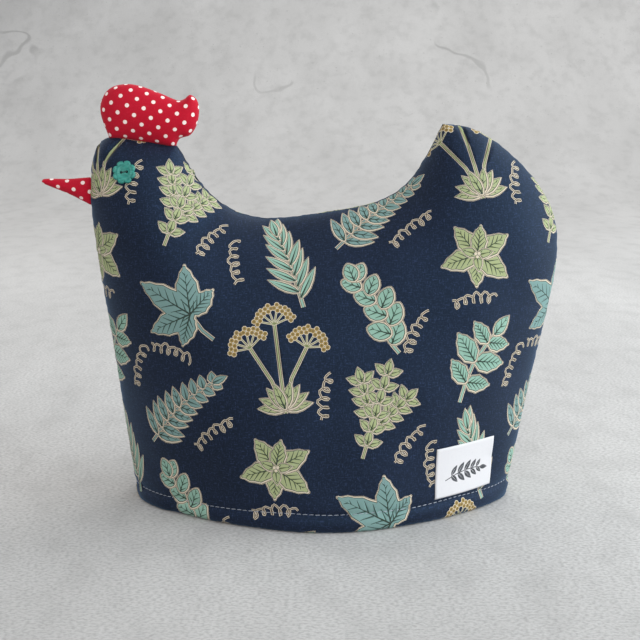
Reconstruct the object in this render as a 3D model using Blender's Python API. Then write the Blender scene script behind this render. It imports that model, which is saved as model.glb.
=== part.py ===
"""Hen-shaped tea cosy: two padded panels sewn round a curved seam and open at the hem.

The hen faces -X and stands on its hem, on the plane z = 0. The seam lies in the plane y = 0, with
the front panel towards -Y. A stuffed comb and beak are sewn into the seam, a flower button is sewn
on each side of the head as an eye, and a small cloth label is sewn on the front above the hem.
"""

import math
from collections import namedtuple

import bmesh
import bpy
import numpy as np
from mathutils import Matrix, Vector
from mathutils.geometry import delaunay_2d_cdt, interpolate_bezier

MM = 0.001  # every size below is in millimetres, and the meshes are in metres

# Driving sizes of the two panels
SEAM_GAP = 0.3  # between two pieces that are sewn together
PANEL_EDGE = 1.0  # cloth turned in at the seam, measured across the seam plane
HEM_BULGE = 62.0  # how far the middle of the hem stands out from the seam plane
FULLNESS = 0.62  # power of the swell: 0.5 is a round edge, 1 a straight slope
TOP_HEIGHT = 212.0  # of the tail's tip
TOP_TAPER = 0.42  # share of the swell that is lost from the hem to that height
WADDING = 8.0  # thickness of a panel: outer cloth, wadding and lining
HEM_WADDING = 6.5  # thickness of a panel below the topstitching
HEM_HEIGHT = 9.9  # of the topstitching above the table
HEM_ROUND = 2.0  # radius of the folded edge at the bottom
STITCH_DENT = 0.9  # depth of the channel that the topstitching pulls in
STITCH_SPREAD = 1.8  # half width of that channel

# Driving sizes of the stuffed pieces
COMB_HALF_THICKNESS = 10.0
BEAK_HALF_THICKNESS = 4.6
STUFFED_EDGE = 0.5
STUFFED_FULLNESS = 0.5

# Driving sizes of the button eyes
EYE_X, EYE_Z = -95.1, 187.3
BUTTON_RADIUS = 6.2
BUTTON_PETALS = 8
PETAL_DEPTH = 0.10  # how far the notches between petals cut in, as a share of the radius
BUTTON_HOLE_RADIUS = 0.75
BUTTON_HOLE_SPACING = 3.1
BUTTON_CUT = 10.0  # length of the pins that cut the holes, longer than the button is thick
SPOKES_PER_PETAL = 5
HOLE_SIDES = 12

# Driving sizes of the label
LABEL_WIDTH = 39.6
LABEL_HEIGHT = 28.5
LABEL_THICKNESS = 1.0
LABEL_LEFT = 73.0  # x of its left edge
LABEL_FOOT = 12.8  # height of its lower left corner above the table
LABEL_RISE = 0.04  # how much its lower edge climbs for each millimetre to the right
LABEL_COLUMNS, LABEL_ROWS = 14, 6

# Mesh spacing
PANEL_STEP = 7.5
PANEL_RINGS = (1.2, 4.5)
PANEL_GRID = 9.5
HEM_ROWS = (0.7, 2.0, 7.8, 9.9, 12.0)
RING_SHARE = 0.85  # a ring point stays where it is this share of its distance from every side
COMB_STEP, COMB_RINGS, COMB_GRID = 3.2, (0.8, 2.6), 4.2
BEAK_STEP, BEAK_RINGS, BEAK_GRID = 2.6, (0.8,), 3.0

# Fineness of the measuring itself
SEAM_SAMPLE = 3.0  # length of the straight pieces that stand for the seam in the swell
HEM_SAMPLES = 8  # that many of its points from each end reach well above the hem's rows
SHARP_ANGLE = 50.0  # degrees between two faces that are shaded as an edge
SAME_POINT = 1e-6
NUDGE = 0.5  # step over which a slope is measured
LEAST_ASIDE = 0.01  # a point on the line of a seam piece counts as this far beside it
TINY = 1e-12

Knot = namedtuple("Knot", "x z corner mark", defaults=("",))
Finish = namedtuple("Finish", "name colour roughness")

# The seam, from the hem at the tail, up over the back and the head, and down to the hem at the breast
SEAM = (
    Knot(119.5, 0.0, True),
    Knot(121.4, 18.0, False),
    Knot(125.5, 45.0, False),
    Knot(132.0, 80.0, False),
    Knot(138.4, 112.0, False),
    Knot(142.2, 140.0, False),
    Knot(139.5, 162.5, False),
    Knot(127.5, 183.0, False),
    Knot(107.0, 202.0, False),
    Knot(91.5, 210.2, False),
    Knot(77.0, TOP_HEIGHT, True),
    Knot(69.0, 195.5, False),
    Knot(58.0, 179.5, False),
    Knot(43.0, 170.0, False),
    Knot(17.0, 164.3, False),
    Knot(-18.0, 160.3, False),
    Knot(-36.0, 164.1, False),
    Knot(-50.0, 173.5, False),
    Knot(-61.0, 187.5, False),
    Knot(-68.4, 199.9, True, "comb back"),
    Knot(-86.0, 202.9, False),
    Knot(-105.0, 204.7, False, "comb front"),
    Knot(-111.8, 200.6, False),
    Knot(-115.2, 192.5, False),
    Knot(-115.8, 183.0, False, "beak top"),
    Knot(-116.1, 167.6, False, "beak foot"),
    Knot(-113.2, 137.0, False),
    Knot(-107.4, 95.0, False),
    Knot(-101.5, 47.0, False),
    Knot(-97.5, 15.0, False),
    Knot(-95.5, 0.0, True),
)

# The comb, from the back of its base, round the curl and over the top to the front of its base
COMB = (
    Knot(-67.9, 200.9, True),
    Knot(-66.8, 203.7, False),
    Knot(-60.6, 206.0, False),
    Knot(-56.6, 213.5, False),
    Knot(-56.0, 223.6, False),
    Knot(-60.0, 227.6, False),
    Knot(-62.6, 225.4, False),
    Knot(-66.4, 224.3, False),
    Knot(-76.0, 228.2, False),
    Knot(-87.0, 232.2, False),
    Knot(-95.0, 233.4, False),
    Knot(-103.5, 231.0, False),
    Knot(-108.2, 224.5, False),
    Knot(-108.8, 217.0, False),
    Knot(-105.4, 205.6, True),
)

# The beak, from the top of its base out to the tip and back
BEAK = (
    Knot(-116.6, 183.1, True),
    Knot(-128.0, 182.2, False),
    Knot(-141.2, 182.2, False),
    Knot(-142.2, 180.8, False),
    Knot(-141.2, 179.6, False),
    Knot(-128.0, 173.4, False),
    Knot(-116.9, 167.6, True),
)

NAVY_COTTON = Finish("navy_cotton", (0.022, 0.035, 0.072, 1.0), 0.85)
RED_COTTON = Finish("red_cotton", (0.52, 0.010, 0.030, 1.0), 0.80)
TEAL_BUTTON = Finish("teal_button", (0.035, 0.30, 0.28, 1.0), 0.35)
WHITE_TAPE = Finish("white_tape", (0.80, 0.80, 0.81, 1.0), 0.85)


def clear_scene():
    """Empties the scene, so that the objects made here are the only ones in it."""
    for obj in list(bpy.data.objects):
        bpy.data.objects.remove(obj)


def material_of(finish):
    """The Principled material of a finish, made once and shared."""
    material = bpy.data.materials.get(finish.name)
    if material is None:
        material = bpy.data.materials.new(finish.name)
        material.use_nodes = True
        shader = material.node_tree.nodes["Principled BSDF"]
        shader.inputs["Base Color"].default_value = finish.colour
        shader.inputs["Roughness"].default_value = finish.roughness
        shader.inputs["Metallic"].default_value = 0.0
    return material


def place_mesh(name, points, faces, finish):
    """Adds a closed mesh, given in millimetres, as one object with outward faces."""
    mesh = bpy.data.meshes.new(name)
    mesh.from_pydata([tuple(c * MM for c in point) for point in points], [], faces)
    shaper = bmesh.new()
    shaper.from_mesh(mesh)
    bmesh.ops.recalc_face_normals(shaper, faces=shaper.faces)
    shaper.to_mesh(mesh)
    shaper.free()
    mesh.shade_smooth()
    mesh.set_sharp_from_angle(angle=math.radians(SHARP_ANGLE))
    mesh.materials.append(material_of(finish))
    obj = bpy.data.objects.new(name, mesh)
    bpy.context.collection.objects.link(obj)
    return obj


# ---- outlines ------------------------------------------------------------------------------


def knot_tangent(knots, index):
    """Direction of the curve at a knot, along the line between its neighbours; none at a corner."""
    if knots[index].corner:
        return Vector((0.0, 0.0))
    before, after = knots[index - 1], knots[index + 1]
    return Vector((after.x - before.x, after.z - before.z)).normalized()


def curve_spans(knots, step):
    """The smooth curve through the knots, as one list of points about a step apart for each span."""
    spans = []
    for index, (first, last) in enumerate(zip(knots, knots[1:])):
        start, end = Vector((first.x, first.z)), Vector((last.x, last.z))
        reach = (end - start).length / 3.0
        leaving = start + reach * knot_tangent(knots, index)
        arriving = end - reach * knot_tangent(knots, index + 1)
        pieces = max(1, round((end - start).length / step))
        spans.append([tuple(p) for p in interpolate_bezier(start, leaving, arriving, end, pieces + 1)])
    return spans


def curve_through(knots, step):
    """All the points of the smooth curve through the knots, its two ends among them."""
    spans = curve_spans(knots, step)
    return np.array([point for span in spans for point in span[:-1]] + [spans[-1][-1]])


def seam_between(first_mark, last_mark, step, offset):
    """The seam's own points from one marked knot to another, moved outwards by the offset."""
    marks = [knot.mark for knot in SEAM]
    first, last = marks.index(first_mark), marks.index(last_mark)
    spans = curve_spans(SEAM, step)[first:last]
    points = np.array([point for span in spans for point in span[:-1]] + [spans[-1][-1]])
    along = np.gradient(points, axis=0)
    along /= np.linalg.norm(along, axis=1)[:, None]
    return points + offset * np.stack([along[:, 1], -along[:, 0]], axis=1)


def segments_of(points, closed):
    """The straight pieces of an outline, as an array of start and end points."""
    ends = np.roll(points, -1, axis=0) if closed else points[1:]
    starts = points if closed else points[:-1]
    return np.stack([starts, ends], axis=1)


def line_distance(points, segments):
    """Distance from each point to the nearest of the segments."""
    start = segments[None, :, 0]
    along = segments[None, :, 1] - start
    offset = points[:, None] - start
    share = (offset * along).sum(-1) / np.maximum((along**2).sum(-1), TINY)
    nearest = start + along * np.clip(share, 0.0, 1.0)[..., None]
    return np.sqrt(((points[:, None] - nearest) ** 2).sum(-1)).min(1)


def soft_distance(points, segments):
    """A distance to the segments that has no ridges: near a line it is the true distance.

    It sums the pull of every segment, which falls off with the cube of the distance, so that it
    rises smoothly from the seam to the middle of the cloth.
    """
    start = segments[None, :, 0]
    along = segments[None, :, 1] - start
    length = np.maximum(np.sqrt((along**2).sum(-1)), TINY)
    along = along / length[..., None]
    offset = points[:, None] - start
    near = (offset * along).sum(-1)
    far = near - length
    aside = np.abs(offset[..., 0] * along[..., 1] - offset[..., 1] * along[..., 0])
    aside2 = np.maximum(aside, LEAST_ASIDE) ** 2
    pull = (near / np.sqrt(aside2 + near**2) - far / np.sqrt(aside2 + far**2)) / aside2
    return np.sqrt(2.0 / np.maximum(pull.sum(1), TINY))


# ---- the shape of a panel --------------------------------------------------------------------

SEAM_LINE = curve_through(SEAM, SEAM_SAMPLE)
SEAM_PIECES = segments_of(SEAM_LINE, closed=False)
# The seam is mirrored below the table, so that the cloth stands upright at the hem.
SWELL_PIECES = np.concatenate([SEAM_PIECES, SEAM_PIECES * np.array([1.0, -1.0])])
HEM_MIDDLE = np.array([[(SEAM[0].x + SEAM[-1].x) / 2.0, 0.0]])
HEM_MIDDLE_REACH = float(soft_distance(HEM_MIDDLE, SWELL_PIECES)[0])


def swell(points):
    """How far the plain padded cloth stands out from the seam plane at each (x, z)."""
    reach = soft_distance(points, SWELL_PIECES) / HEM_MIDDLE_REACH
    taper = 1.0 - TOP_TAPER * np.clip(points[:, 1] / TOP_HEIGHT, 0.0, 1.0) ** 2
    return (HEM_BULGE - PANEL_EDGE) * taper * reach**FULLNESS


def slope_factor(points):
    """Length of the cloth's slant over its run, to measure the wadding square to the cloth."""
    slopes = [
        (swell(points + shift) - swell(points - shift)) / (2.0 * NUDGE)
        for shift in (np.array([NUDGE, 0.0]), np.array([0.0, NUDGE]))
    ]
    return np.sqrt(1.0 + slopes[0] ** 2 + slopes[1] ** 2)


def fold_relief(height):
    """What the round edge of the folded hem takes off a face at each height."""
    below = np.clip(HEM_ROUND - height, 0.0, HEM_ROUND)
    return HEM_ROUND - np.sqrt(HEM_ROUND**2 - below**2)


def stitch_relief(height):
    """What the channel of the topstitching takes off the outer face at each height."""
    return STITCH_DENT * np.exp(-(((height - HEM_HEIGHT) / STITCH_SPREAD) ** 2))


def outer_face(points, on_seam):
    """Half depth of the outer face from the seam plane, at points whose seam ones are marked."""
    from_seam = line_distance(points, SEAM_PIECES)
    settle = np.clip(from_seam / (2.0 * HEM_ROUND), 0.0, 1.0)
    relief = fold_relief(points[:, 1]) + stitch_relief(points[:, 1])
    depth = swell(points) - relief * settle
    return SEAM_GAP / 2.0 + PANEL_EDGE + np.where(on_seam, 0.0, depth)


def inner_face(points, on_seam):
    """Half depth of the lining: flat where the two panels meet, then a panel's thickness inside."""
    height = points[:, 1]
    blend = np.clip((height - HEM_HEIGHT) / (2.0 * HEM_ROUND) + 0.5, 0.0, 1.0)
    thickness = HEM_WADDING + (WADDING - HEM_WADDING) * blend
    depth = PANEL_EDGE + swell(points) - thickness * slope_factor(points)
    depth = np.where(on_seam, 0.0, np.maximum(depth, 0.0))
    return SEAM_GAP / 2.0 + depth + np.where(depth > HEM_ROUND, fold_relief(height), 0.0)


# ---- meshes cut from an outline --------------------------------------------------------------


def hexagon_grid(low, high, spacing):
    """Points of a triangular grid over a box."""
    rows = np.arange(low[1], high[1], spacing * math.sqrt(3.0) / 2.0)
    points = []
    for number, height in enumerate(rows):
        shift = spacing / 2.0 if number % 2 else 0.0
        points.extend((x, height) for x in np.arange(low[0] + shift, high[0], spacing))
    return np.array(points)


def inside_outline(points, outline):
    """Which points lie inside a closed outline, by counting crossings to the right."""
    x, z = points[:, 0, None], points[:, 1, None]
    x1, z1 = outline[None, :, 0], outline[None, :, 1]
    x2, z2 = np.roll(x1, -1, axis=1), np.roll(z1, -1, axis=1)
    spans = (z1 > z) != (z2 > z)
    rise = np.where(spans, z2 - z1, 1.0)
    crossing = spans & (x < x1 + (z - z1) * (x2 - x1) / rise)
    return crossing.sum(1) % 2 == 1


def rings_inside(border, segments, distances):
    """Points set in from the border by each distance, left out where another side is nearer."""
    found = []
    before, after = np.roll(border, 1, axis=0), np.roll(border, -1, axis=0)
    along = after - before
    along /= np.linalg.norm(along, axis=1)[:, None]
    inward = np.stack([-along[:, 1], along[:, 0]], axis=1)
    for distance in distances:
        ring = border + inward * distance
        true = line_distance(ring, segments)
        keep = (true > RING_SHARE * distance) & inside_outline(ring, border)
        found.append(ring[keep])
    return np.concatenate(found)


def thinned(points, spacing):
    """The points with each that lies nearer than the spacing to an earlier one left out."""
    kept = []
    for point in points:
        if all((point[0] - k[0]) ** 2 + (point[1] - k[1]) ** 2 > spacing**2 for k in kept):
            kept.append(point)
    return np.array(kept)


def triangulated(border, inside):
    """Triangles that fill the border, with corners at its points and at the inner points.

    The border runs anticlockwise. Returns the points, the triangles, and which points are on the
    border, in the border's order.
    """
    count = len(border)
    seeds = [Vector(p) for p in border] + [Vector(p) for p in inside]
    edges = [(i, (i + 1) % count) for i in range(count)]
    made = delaunay_2d_cdt(seeds, edges, [list(range(count))], 1, SAME_POINT)
    points, faces, sources = made[0], made[2], made[3]
    place = {source: new for new, group in enumerate(sources) for source in group}
    return np.array(points), [tuple(face) for face in faces], [place[i] for i in range(count)]


def two_faced(points, faces, rim, near, far):
    """A closed mesh from one flat triangulation, raised to two depths in y and walled at its rim."""
    count = len(points)
    corners = [(p[0], y, p[1]) for p, y in zip(points, near)]
    corners += [(p[0], y, p[1]) for p, y in zip(points, far)]
    sides = list(faces) + [tuple(count + i for i in reversed(face)) for face in faces]
    for a, b in zip(rim, rim[1:] + rim[:1]):
        sides.append((b, a, count + a))
        sides.append((b, count + a, count + b))
    return corners, sides


def hem_row(height):
    """Points in a row across the panel at a height near the hem."""
    tail = float(np.interp(height, *SEAM_LINE[:HEM_SAMPLES].T[::-1]))
    breast = float(np.interp(height, *SEAM_LINE[: -HEM_SAMPLES : -1].T[::-1]))
    left, right = breast + PANEL_RINGS[-1], tail - PANEL_RINGS[-1]
    count = round((right - left) / PANEL_STEP)
    places = [left + (right - left) * i / count for i in range(count + 1)]
    places += [breast + PANEL_RINGS[0], tail - PANEL_RINGS[0]]
    return [(x, height) for x in sorted(places)]


def panel_layout():
    """The flat triangulation that both panels share, with the marks of its seam points."""
    seam = curve_through(SEAM, PANEL_STEP)
    border = np.concatenate([seam, hem_row(0.0)])
    rows = np.array([point for height in HEM_ROWS for point in hem_row(height)])
    rings = rings_inside(border, SEAM_PIECES, PANEL_RINGS)
    rings = thinned(rings[rings[:, 1] > HEM_ROWS[-1] + PANEL_RINGS[-1]], PANEL_RINGS[0])
    low, high = border.min(0), border.max(0)
    grid = hexagon_grid((low[0], HEM_ROWS[-1] + PANEL_GRID / 2.0), high, PANEL_GRID)
    grid = grid[inside_outline(grid, border)]
    grid = grid[line_distance(grid, SEAM_PIECES) > PANEL_RINGS[-1] + PANEL_GRID / 2.0]
    points, faces, rim = triangulated(border, np.concatenate([rows, rings, grid]))
    on_seam = np.zeros(len(points), bool)
    on_seam[rim[: len(seam)]] = True
    return points, faces, rim, on_seam


def build_panels():
    """The front panel, towards -Y, and the back panel, its mirror image."""
    points, faces, rim, on_seam = panel_layout()
    outer = outer_face(points, on_seam)
    inner = inner_face(points, on_seam)
    for name, side in (("front_panel", -1.0), ("back_panel", 1.0)):
        corners, sides = two_faced(points, faces, rim, side * outer, side * inner)
        place_mesh(name, corners, sides, NAVY_COTTON)


def build_stuffed(name, knots, base, half_thickness, step, ring_distances, spacing):
    """A stuffed red shape of two like cloths, sewn round the knots and closed along its base."""
    border = np.concatenate([curve_through(knots, step), base])
    segments = segments_of(border, closed=True)
    grid = hexagon_grid(border.min(0), border.max(0), spacing)
    grid = grid[inside_outline(grid, border)]
    grid = grid[line_distance(grid, segments) > ring_distances[-1] + spacing / 2.0]
    rings = thinned(rings_inside(border, segments, ring_distances), ring_distances[0] / 2.0)
    points, faces, rim = triangulated(border, np.concatenate([rings, grid]))
    reach = soft_distance(points, segments)
    reach[rim] = 0.0
    depth = STUFFED_EDGE + (half_thickness - STUFFED_EDGE) * (reach / reach.max()) ** STUFFED_FULLNESS
    corners, sides = two_faced(points, faces, rim, -depth, depth)
    return place_mesh(name, corners, sides, RED_COTTON)


def build_comb():
    """The comb, whose base follows the seam on top of the head."""
    base = seam_between("comb back", "comb front", PANEL_STEP, SEAM_GAP)[::-1]
    build_stuffed("comb", COMB, base, COMB_HALF_THICKNESS, COMB_STEP, COMB_RINGS, COMB_GRID)


def build_beak():
    """The beak, whose base follows the seam at the front of the head."""
    base = seam_between("beak top", "beak foot", PANEL_STEP, SEAM_GAP)[::-1]
    build_stuffed("beak", BEAK, base, BEAK_HALF_THICKNESS, BEAK_STEP, BEAK_RINGS, BEAK_GRID)


# ---- what is sewn on the panels ----------------------------------------------------------------


def front_point(x, z):
    """A point of the front panel's outer face and the direction it faces."""
    spots = np.array([[x, z], [x + NUDGE, z], [x, z + NUDGE]])
    depth = outer_face(spots, np.zeros(len(spots), bool))
    facing = Vector(((depth[0] - depth[1]) / NUDGE, -1.0, (depth[0] - depth[2]) / NUDGE))
    return Vector((x, -float(depth[0]), z)), facing.normalized()


def seat_matrix(seat, facing):
    """Places a piece at its seat, in millimetres, with its z axis along the facing direction."""
    level = Vector((0.0, 0.0, 1.0)).cross(facing).normalized()
    turn = Matrix((level, facing.cross(level), facing)).transposed().to_4x4()
    return Matrix.Translation(seat * MM) @ turn


def hole_cutter(name, place):
    """A hidden pin that cuts one sewing hole."""
    shaper = bmesh.new()
    radius = BUTTON_HOLE_RADIUS * MM
    bmesh.ops.create_cone(
        shaper, cap_ends=True, segments=HOLE_SIDES, radius1=radius, radius2=radius, depth=BUTTON_CUT * MM
    )
    mesh = bpy.data.meshes.new(name)
    shaper.to_mesh(mesh)
    shaper.free()
    cutter = bpy.data.objects.new(name, mesh)
    bpy.context.collection.objects.link(cutter)
    cutter.matrix_world = place
    cutter.hide_render = True
    cutter.display_type = "WIRE"
    return cutter


def build_button(name, side):
    """A flower button with rounded petals, a shallow dish and two sewing holes.

    It sits on the head, on the front for a side of -1 and on the back for a side of 1.
    """
    Level = namedtuple("Level", "share height petals")
    levels = (
        Level(0.90, 0.0, 1.0),
        Level(1.0, 0.7, 1.0),
        Level(1.0, 1.6, 1.0),
        Level(0.90, 2.3, 1.0),
        Level(0.50, 2.3, 0.0),
        Level(0.40, 1.9, 0.0),
    )
    spokes = SPOKES_PER_PETAL * BUTTON_PETALS
    points = []
    for level in levels:
        for number in range(spokes):
            turn = 2.0 * math.pi * number / spokes
            notch = 1.0 - math.sqrt(abs(math.sin(BUTTON_PETALS * turn / 2.0)))
            radius = BUTTON_RADIUS * level.share * (1.0 - PETAL_DEPTH * notch * level.petals)
            points.append((radius * math.cos(turn), radius * math.sin(turn), level.height))
    faces = [tuple(reversed(range(spokes)))]
    for base in range(0, (len(levels) - 1) * spokes, spokes):
        for number in range(spokes):
            after = (number + 1) % spokes
            faces.append((base + number, base + after, base + spokes + after, base + spokes + number))
    faces.append(tuple(range((len(levels) - 1) * spokes, len(levels) * spokes)))
    button = place_mesh(name, points, faces, TEAL_BUTTON)
    seat, facing = front_point(EYE_X, EYE_Z)
    mirror = Vector((1.0, -side, 1.0))
    seat, facing = seat * mirror, facing * mirror
    button.matrix_world = seat_matrix(seat + facing * SEAM_GAP, facing)
    for number, share in enumerate((-0.5, 0.5)):
        shift = Matrix.Translation((share * BUTTON_HOLE_SPACING * MM, 0.0, 0.0))
        hole = button.modifiers.new(f"hole_{number}", "BOOLEAN")
        hole.operation = "DIFFERENCE"
        hole.object = hole_cutter(f"{name}_hole_{number}", button.matrix_world @ shift)
    return button


def build_label():
    """A small label of white tape that follows the front panel, at its full width round the curve."""
    points = []
    for row in range(LABEL_ROWS + 1):
        x = LABEL_LEFT
        for _ in range(LABEL_COLUMNS + 1):
            z = LABEL_FOOT + LABEL_HEIGHT * row / LABEL_ROWS + LABEL_RISE * (x - LABEL_LEFT)
            seat, facing = front_point(x, z)
            points.append(tuple(seat + facing * SEAM_GAP))
            points.append(tuple(seat + facing * (SEAM_GAP + LABEL_THICKNESS)))
            x += LABEL_WIDTH / LABEL_COLUMNS * math.hypot(facing.y, facing.z)
    stride = 2 * (LABEL_COLUMNS + 1)
    corners = [row * stride + 2 * column for row in range(LABEL_ROWS) for column in range(LABEL_COLUMNS)]
    faces = []
    for a in corners:
        b, c, d = a + 2, a + stride + 2, a + stride
        faces.append((a, d, c, b))
        faces.append((a + 1, b + 1, c + 1, d + 1))
    foot = list(range(0, stride, 2))
    right = [stride - 2 + row * stride for row in range(1, LABEL_ROWS + 1)]
    head = list(range((LABEL_ROWS + 1) * stride - 4, LABEL_ROWS * stride - 1, -2))
    left = [row * stride for row in range(LABEL_ROWS - 1, 0, -1)]
    edge = foot + right + head + left
    for a, b in zip(edge, edge[1:] + edge[:1]):
        faces.append((a, b, b + 1, a + 1))
    return place_mesh("label", points, faces, WHITE_TAPE)


def main():
    """Builds every piece of the cosy."""
    clear_scene()
    build_panels()
    build_comb()
    build_beak()
    build_button("eye_button_front", -1.0)
    build_button("eye_button_back", 1.0)
    build_label()


main()
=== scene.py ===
"""Looks of a hen-shaped tea cosy: two padded printed panels, a stuffed red comb and beak, eyes and label.

Sizes are in millimetres, in the frame of the solids, and are turned into metres where a mesh is made.
The hen faces -X and stands on z = 0, and its seam lies in the plane y = 0.
"""

from __future__ import annotations

import logging
import math
import random
from dataclasses import dataclass, field
from enum import Enum
from functools import cached_property
from typing import Sequence

import bmesh
import bpy
import numpy as np
from mathutils import Matrix, Vector
from mathutils.bvhtree import BVHTree
from mathutils.geometry import barycentric_transform, delaunay_2d_cdt, interpolate_bezier
from mathutils.kdtree import KDTree


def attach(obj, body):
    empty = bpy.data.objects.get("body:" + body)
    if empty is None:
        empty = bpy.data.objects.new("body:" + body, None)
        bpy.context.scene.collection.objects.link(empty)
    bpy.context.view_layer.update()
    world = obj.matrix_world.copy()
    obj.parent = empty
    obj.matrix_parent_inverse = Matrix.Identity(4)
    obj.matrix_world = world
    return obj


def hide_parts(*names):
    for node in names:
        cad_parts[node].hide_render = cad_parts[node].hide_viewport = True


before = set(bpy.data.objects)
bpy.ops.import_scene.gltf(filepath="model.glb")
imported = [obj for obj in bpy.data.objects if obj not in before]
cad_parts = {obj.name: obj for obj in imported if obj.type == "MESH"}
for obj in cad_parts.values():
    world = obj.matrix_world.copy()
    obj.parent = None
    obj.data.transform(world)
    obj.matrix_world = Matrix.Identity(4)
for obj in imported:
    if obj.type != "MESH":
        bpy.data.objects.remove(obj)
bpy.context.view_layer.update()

LOG = logging.getLogger("tea_cosy")

MM = 0.001
BODY = "root"
CLOTH_MAP = "cloth"
CLOTH_SPAN = 400.0  # millimetres of flat cloth from 0 to 1 of its map
TINY = 1e-12
CHUNK = 1500  # points worked on at a time
JOIN = 0.00001  # millimetres: points of a flat cut that are nearer are one
PRINT_CLEAR = 0.45  # millimetres that the cut's other points keep from the corners of its print

Colour = tuple[float, float, float, float]


def paint(red: int, green: int, blue: int) -> Colour:
    """A linear colour from the red, green and blue of a paint chart, 0 to 255."""
    linear = [((c / 255.0 + 0.055) / 1.055) ** 2.4 if c > 10 else c / 3294.6 for c in (red, green, blue)]
    return (*linear, 1.0)


# ---- finishes ----


class Sketch:
    """One material, with short ways to add and join its nodes."""

    def __init__(self, name: str, colour: Colour, roughness: float) -> None:
        """Starts a material.

        Args:
            name: the material's name.
            colour: its base colour.
            roughness: its roughness.
        """
        self.material = bpy.data.materials.new(name)
        self.material.use_nodes = True
        self.tree = self.material.node_tree
        self.shader = self.tree.nodes["Principled BSDF"]
        self.set("Base Color", colour)
        self.set("Roughness", roughness)
        self.material.diffuse_color = colour

    def wire(self, socket: bpy.types.NodeSocket, value: object) -> None:
        """Joins a socket to another, or gives it a fixed value.

        Args:
            socket: the socket that takes it.
            value: a socket, a number or a colour.
        """
        if isinstance(value, bpy.types.NodeSocket):
            self.tree.links.new(value, socket)
        else:
            socket.default_value = value

    def set(self, name: str, value: object) -> None:
        """Joins or sets one input of the shader."""
        self.wire(self.shader.inputs[name], value)

    def node(self, kind: str, inputs: dict, **settings: object) -> bpy.types.Node:
        """Adds a node.

        Args:
            kind: the node's type, without ShaderNode in front.
            inputs: what each input is joined to or set to, by name or number.
            settings: the node's own settings.

        Returns:
            The node.
        """
        made = self.tree.nodes.new("ShaderNode" + kind)
        for name, value in settings.items():
            setattr(made, name, value)
        for key, value in inputs.items():
            self.wire(made.inputs[key], value)
        return made

    def math(self, operation: str, *values: object) -> bpy.types.NodeSocket:
        """The result of a Math node on up to three sockets or numbers."""
        return self.node("Math", dict(enumerate(values)), operation=operation).outputs[0]

    def blend(self, share: object, first: object, second: object, how: str = "MIX") -> bpy.types.NodeSocket:
        """A colour mixed from two, by a share from 0 to 1."""
        inputs = {0: share, 6: first, 7: second}
        return self.node("Mix", inputs, data_type="RGBA", blend_type=how).outputs[2]

    def step(self, value: object, low: float, high: float) -> bpy.types.NodeSocket:
        """How far a value has gone from low to high, from 0 to 1, eased at both ends."""
        inputs = {"Value": value, "From Min": low, "From Max": high}
        return self.node("MapRange", inputs, interpolation_type="SMOOTHSTEP").outputs[0]

    def share(self, value: object, low: float, high: float, most: object) -> bpy.types.NodeSocket:
        """How far a value has gone from low to high, times the most that this comes to."""
        return self.math("MULTIPLY", self.step(value, low, high), most)

    def cloth(self) -> bpy.types.NodeSocket:
        """The place on the flat cloth, in millimetres, from its map."""
        uv = self.node("UVMap", {}, uv_map=CLOTH_MAP).outputs[0]
        return self.node(
            "VectorMath", {0: uv, 1: (CLOTH_SPAN, CLOTH_SPAN, 1.0)}, operation="MULTIPLY"
        ).outputs[0]

    def noise(self, place: object, waves: Sequence[float], detail: float = 2.0) -> bpy.types.NodeSocket:
        """Cloudy noise from 0 to 1, by waves to a unit of the place's own three directions."""
        spread = self.node("VectorMath", {0: place, 1: waves}, operation="MULTIPLY").outputs[0]
        return self.node("TexNoise", {"Vector": spread, "Scale": 1.0, "Detail": detail}).outputs[0]

    def bump(self, height: object, depth: float, strength: float = 1.0) -> None:
        """Raises the surface by a height from 0 to 1, at most a depth in millimetres."""
        inputs = {"Height": height, "Distance": depth * MM, "Strength": strength}
        self.set("Normal", self.node("Bump", inputs).outputs[0])


@dataclass(frozen=True)
class Finish:
    """A plain finish, and the base of the others."""

    name: str
    colour: Colour
    roughness: float = 0.8

    def dress(self, sketch: Sketch) -> None:
        """Adds what the finish shows beyond its colour: here, nothing."""

    def material(self) -> bpy.types.Material:
        """The finish's material, made once and shared.

        Returns:
            The material.
        """
        made = bpy.data.materials.get(self.name)
        if made is None:
            sketch = Sketch(self.name, self.colour, self.roughness)
            self.dress(sketch)
            made = sketch.material
        return made


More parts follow.
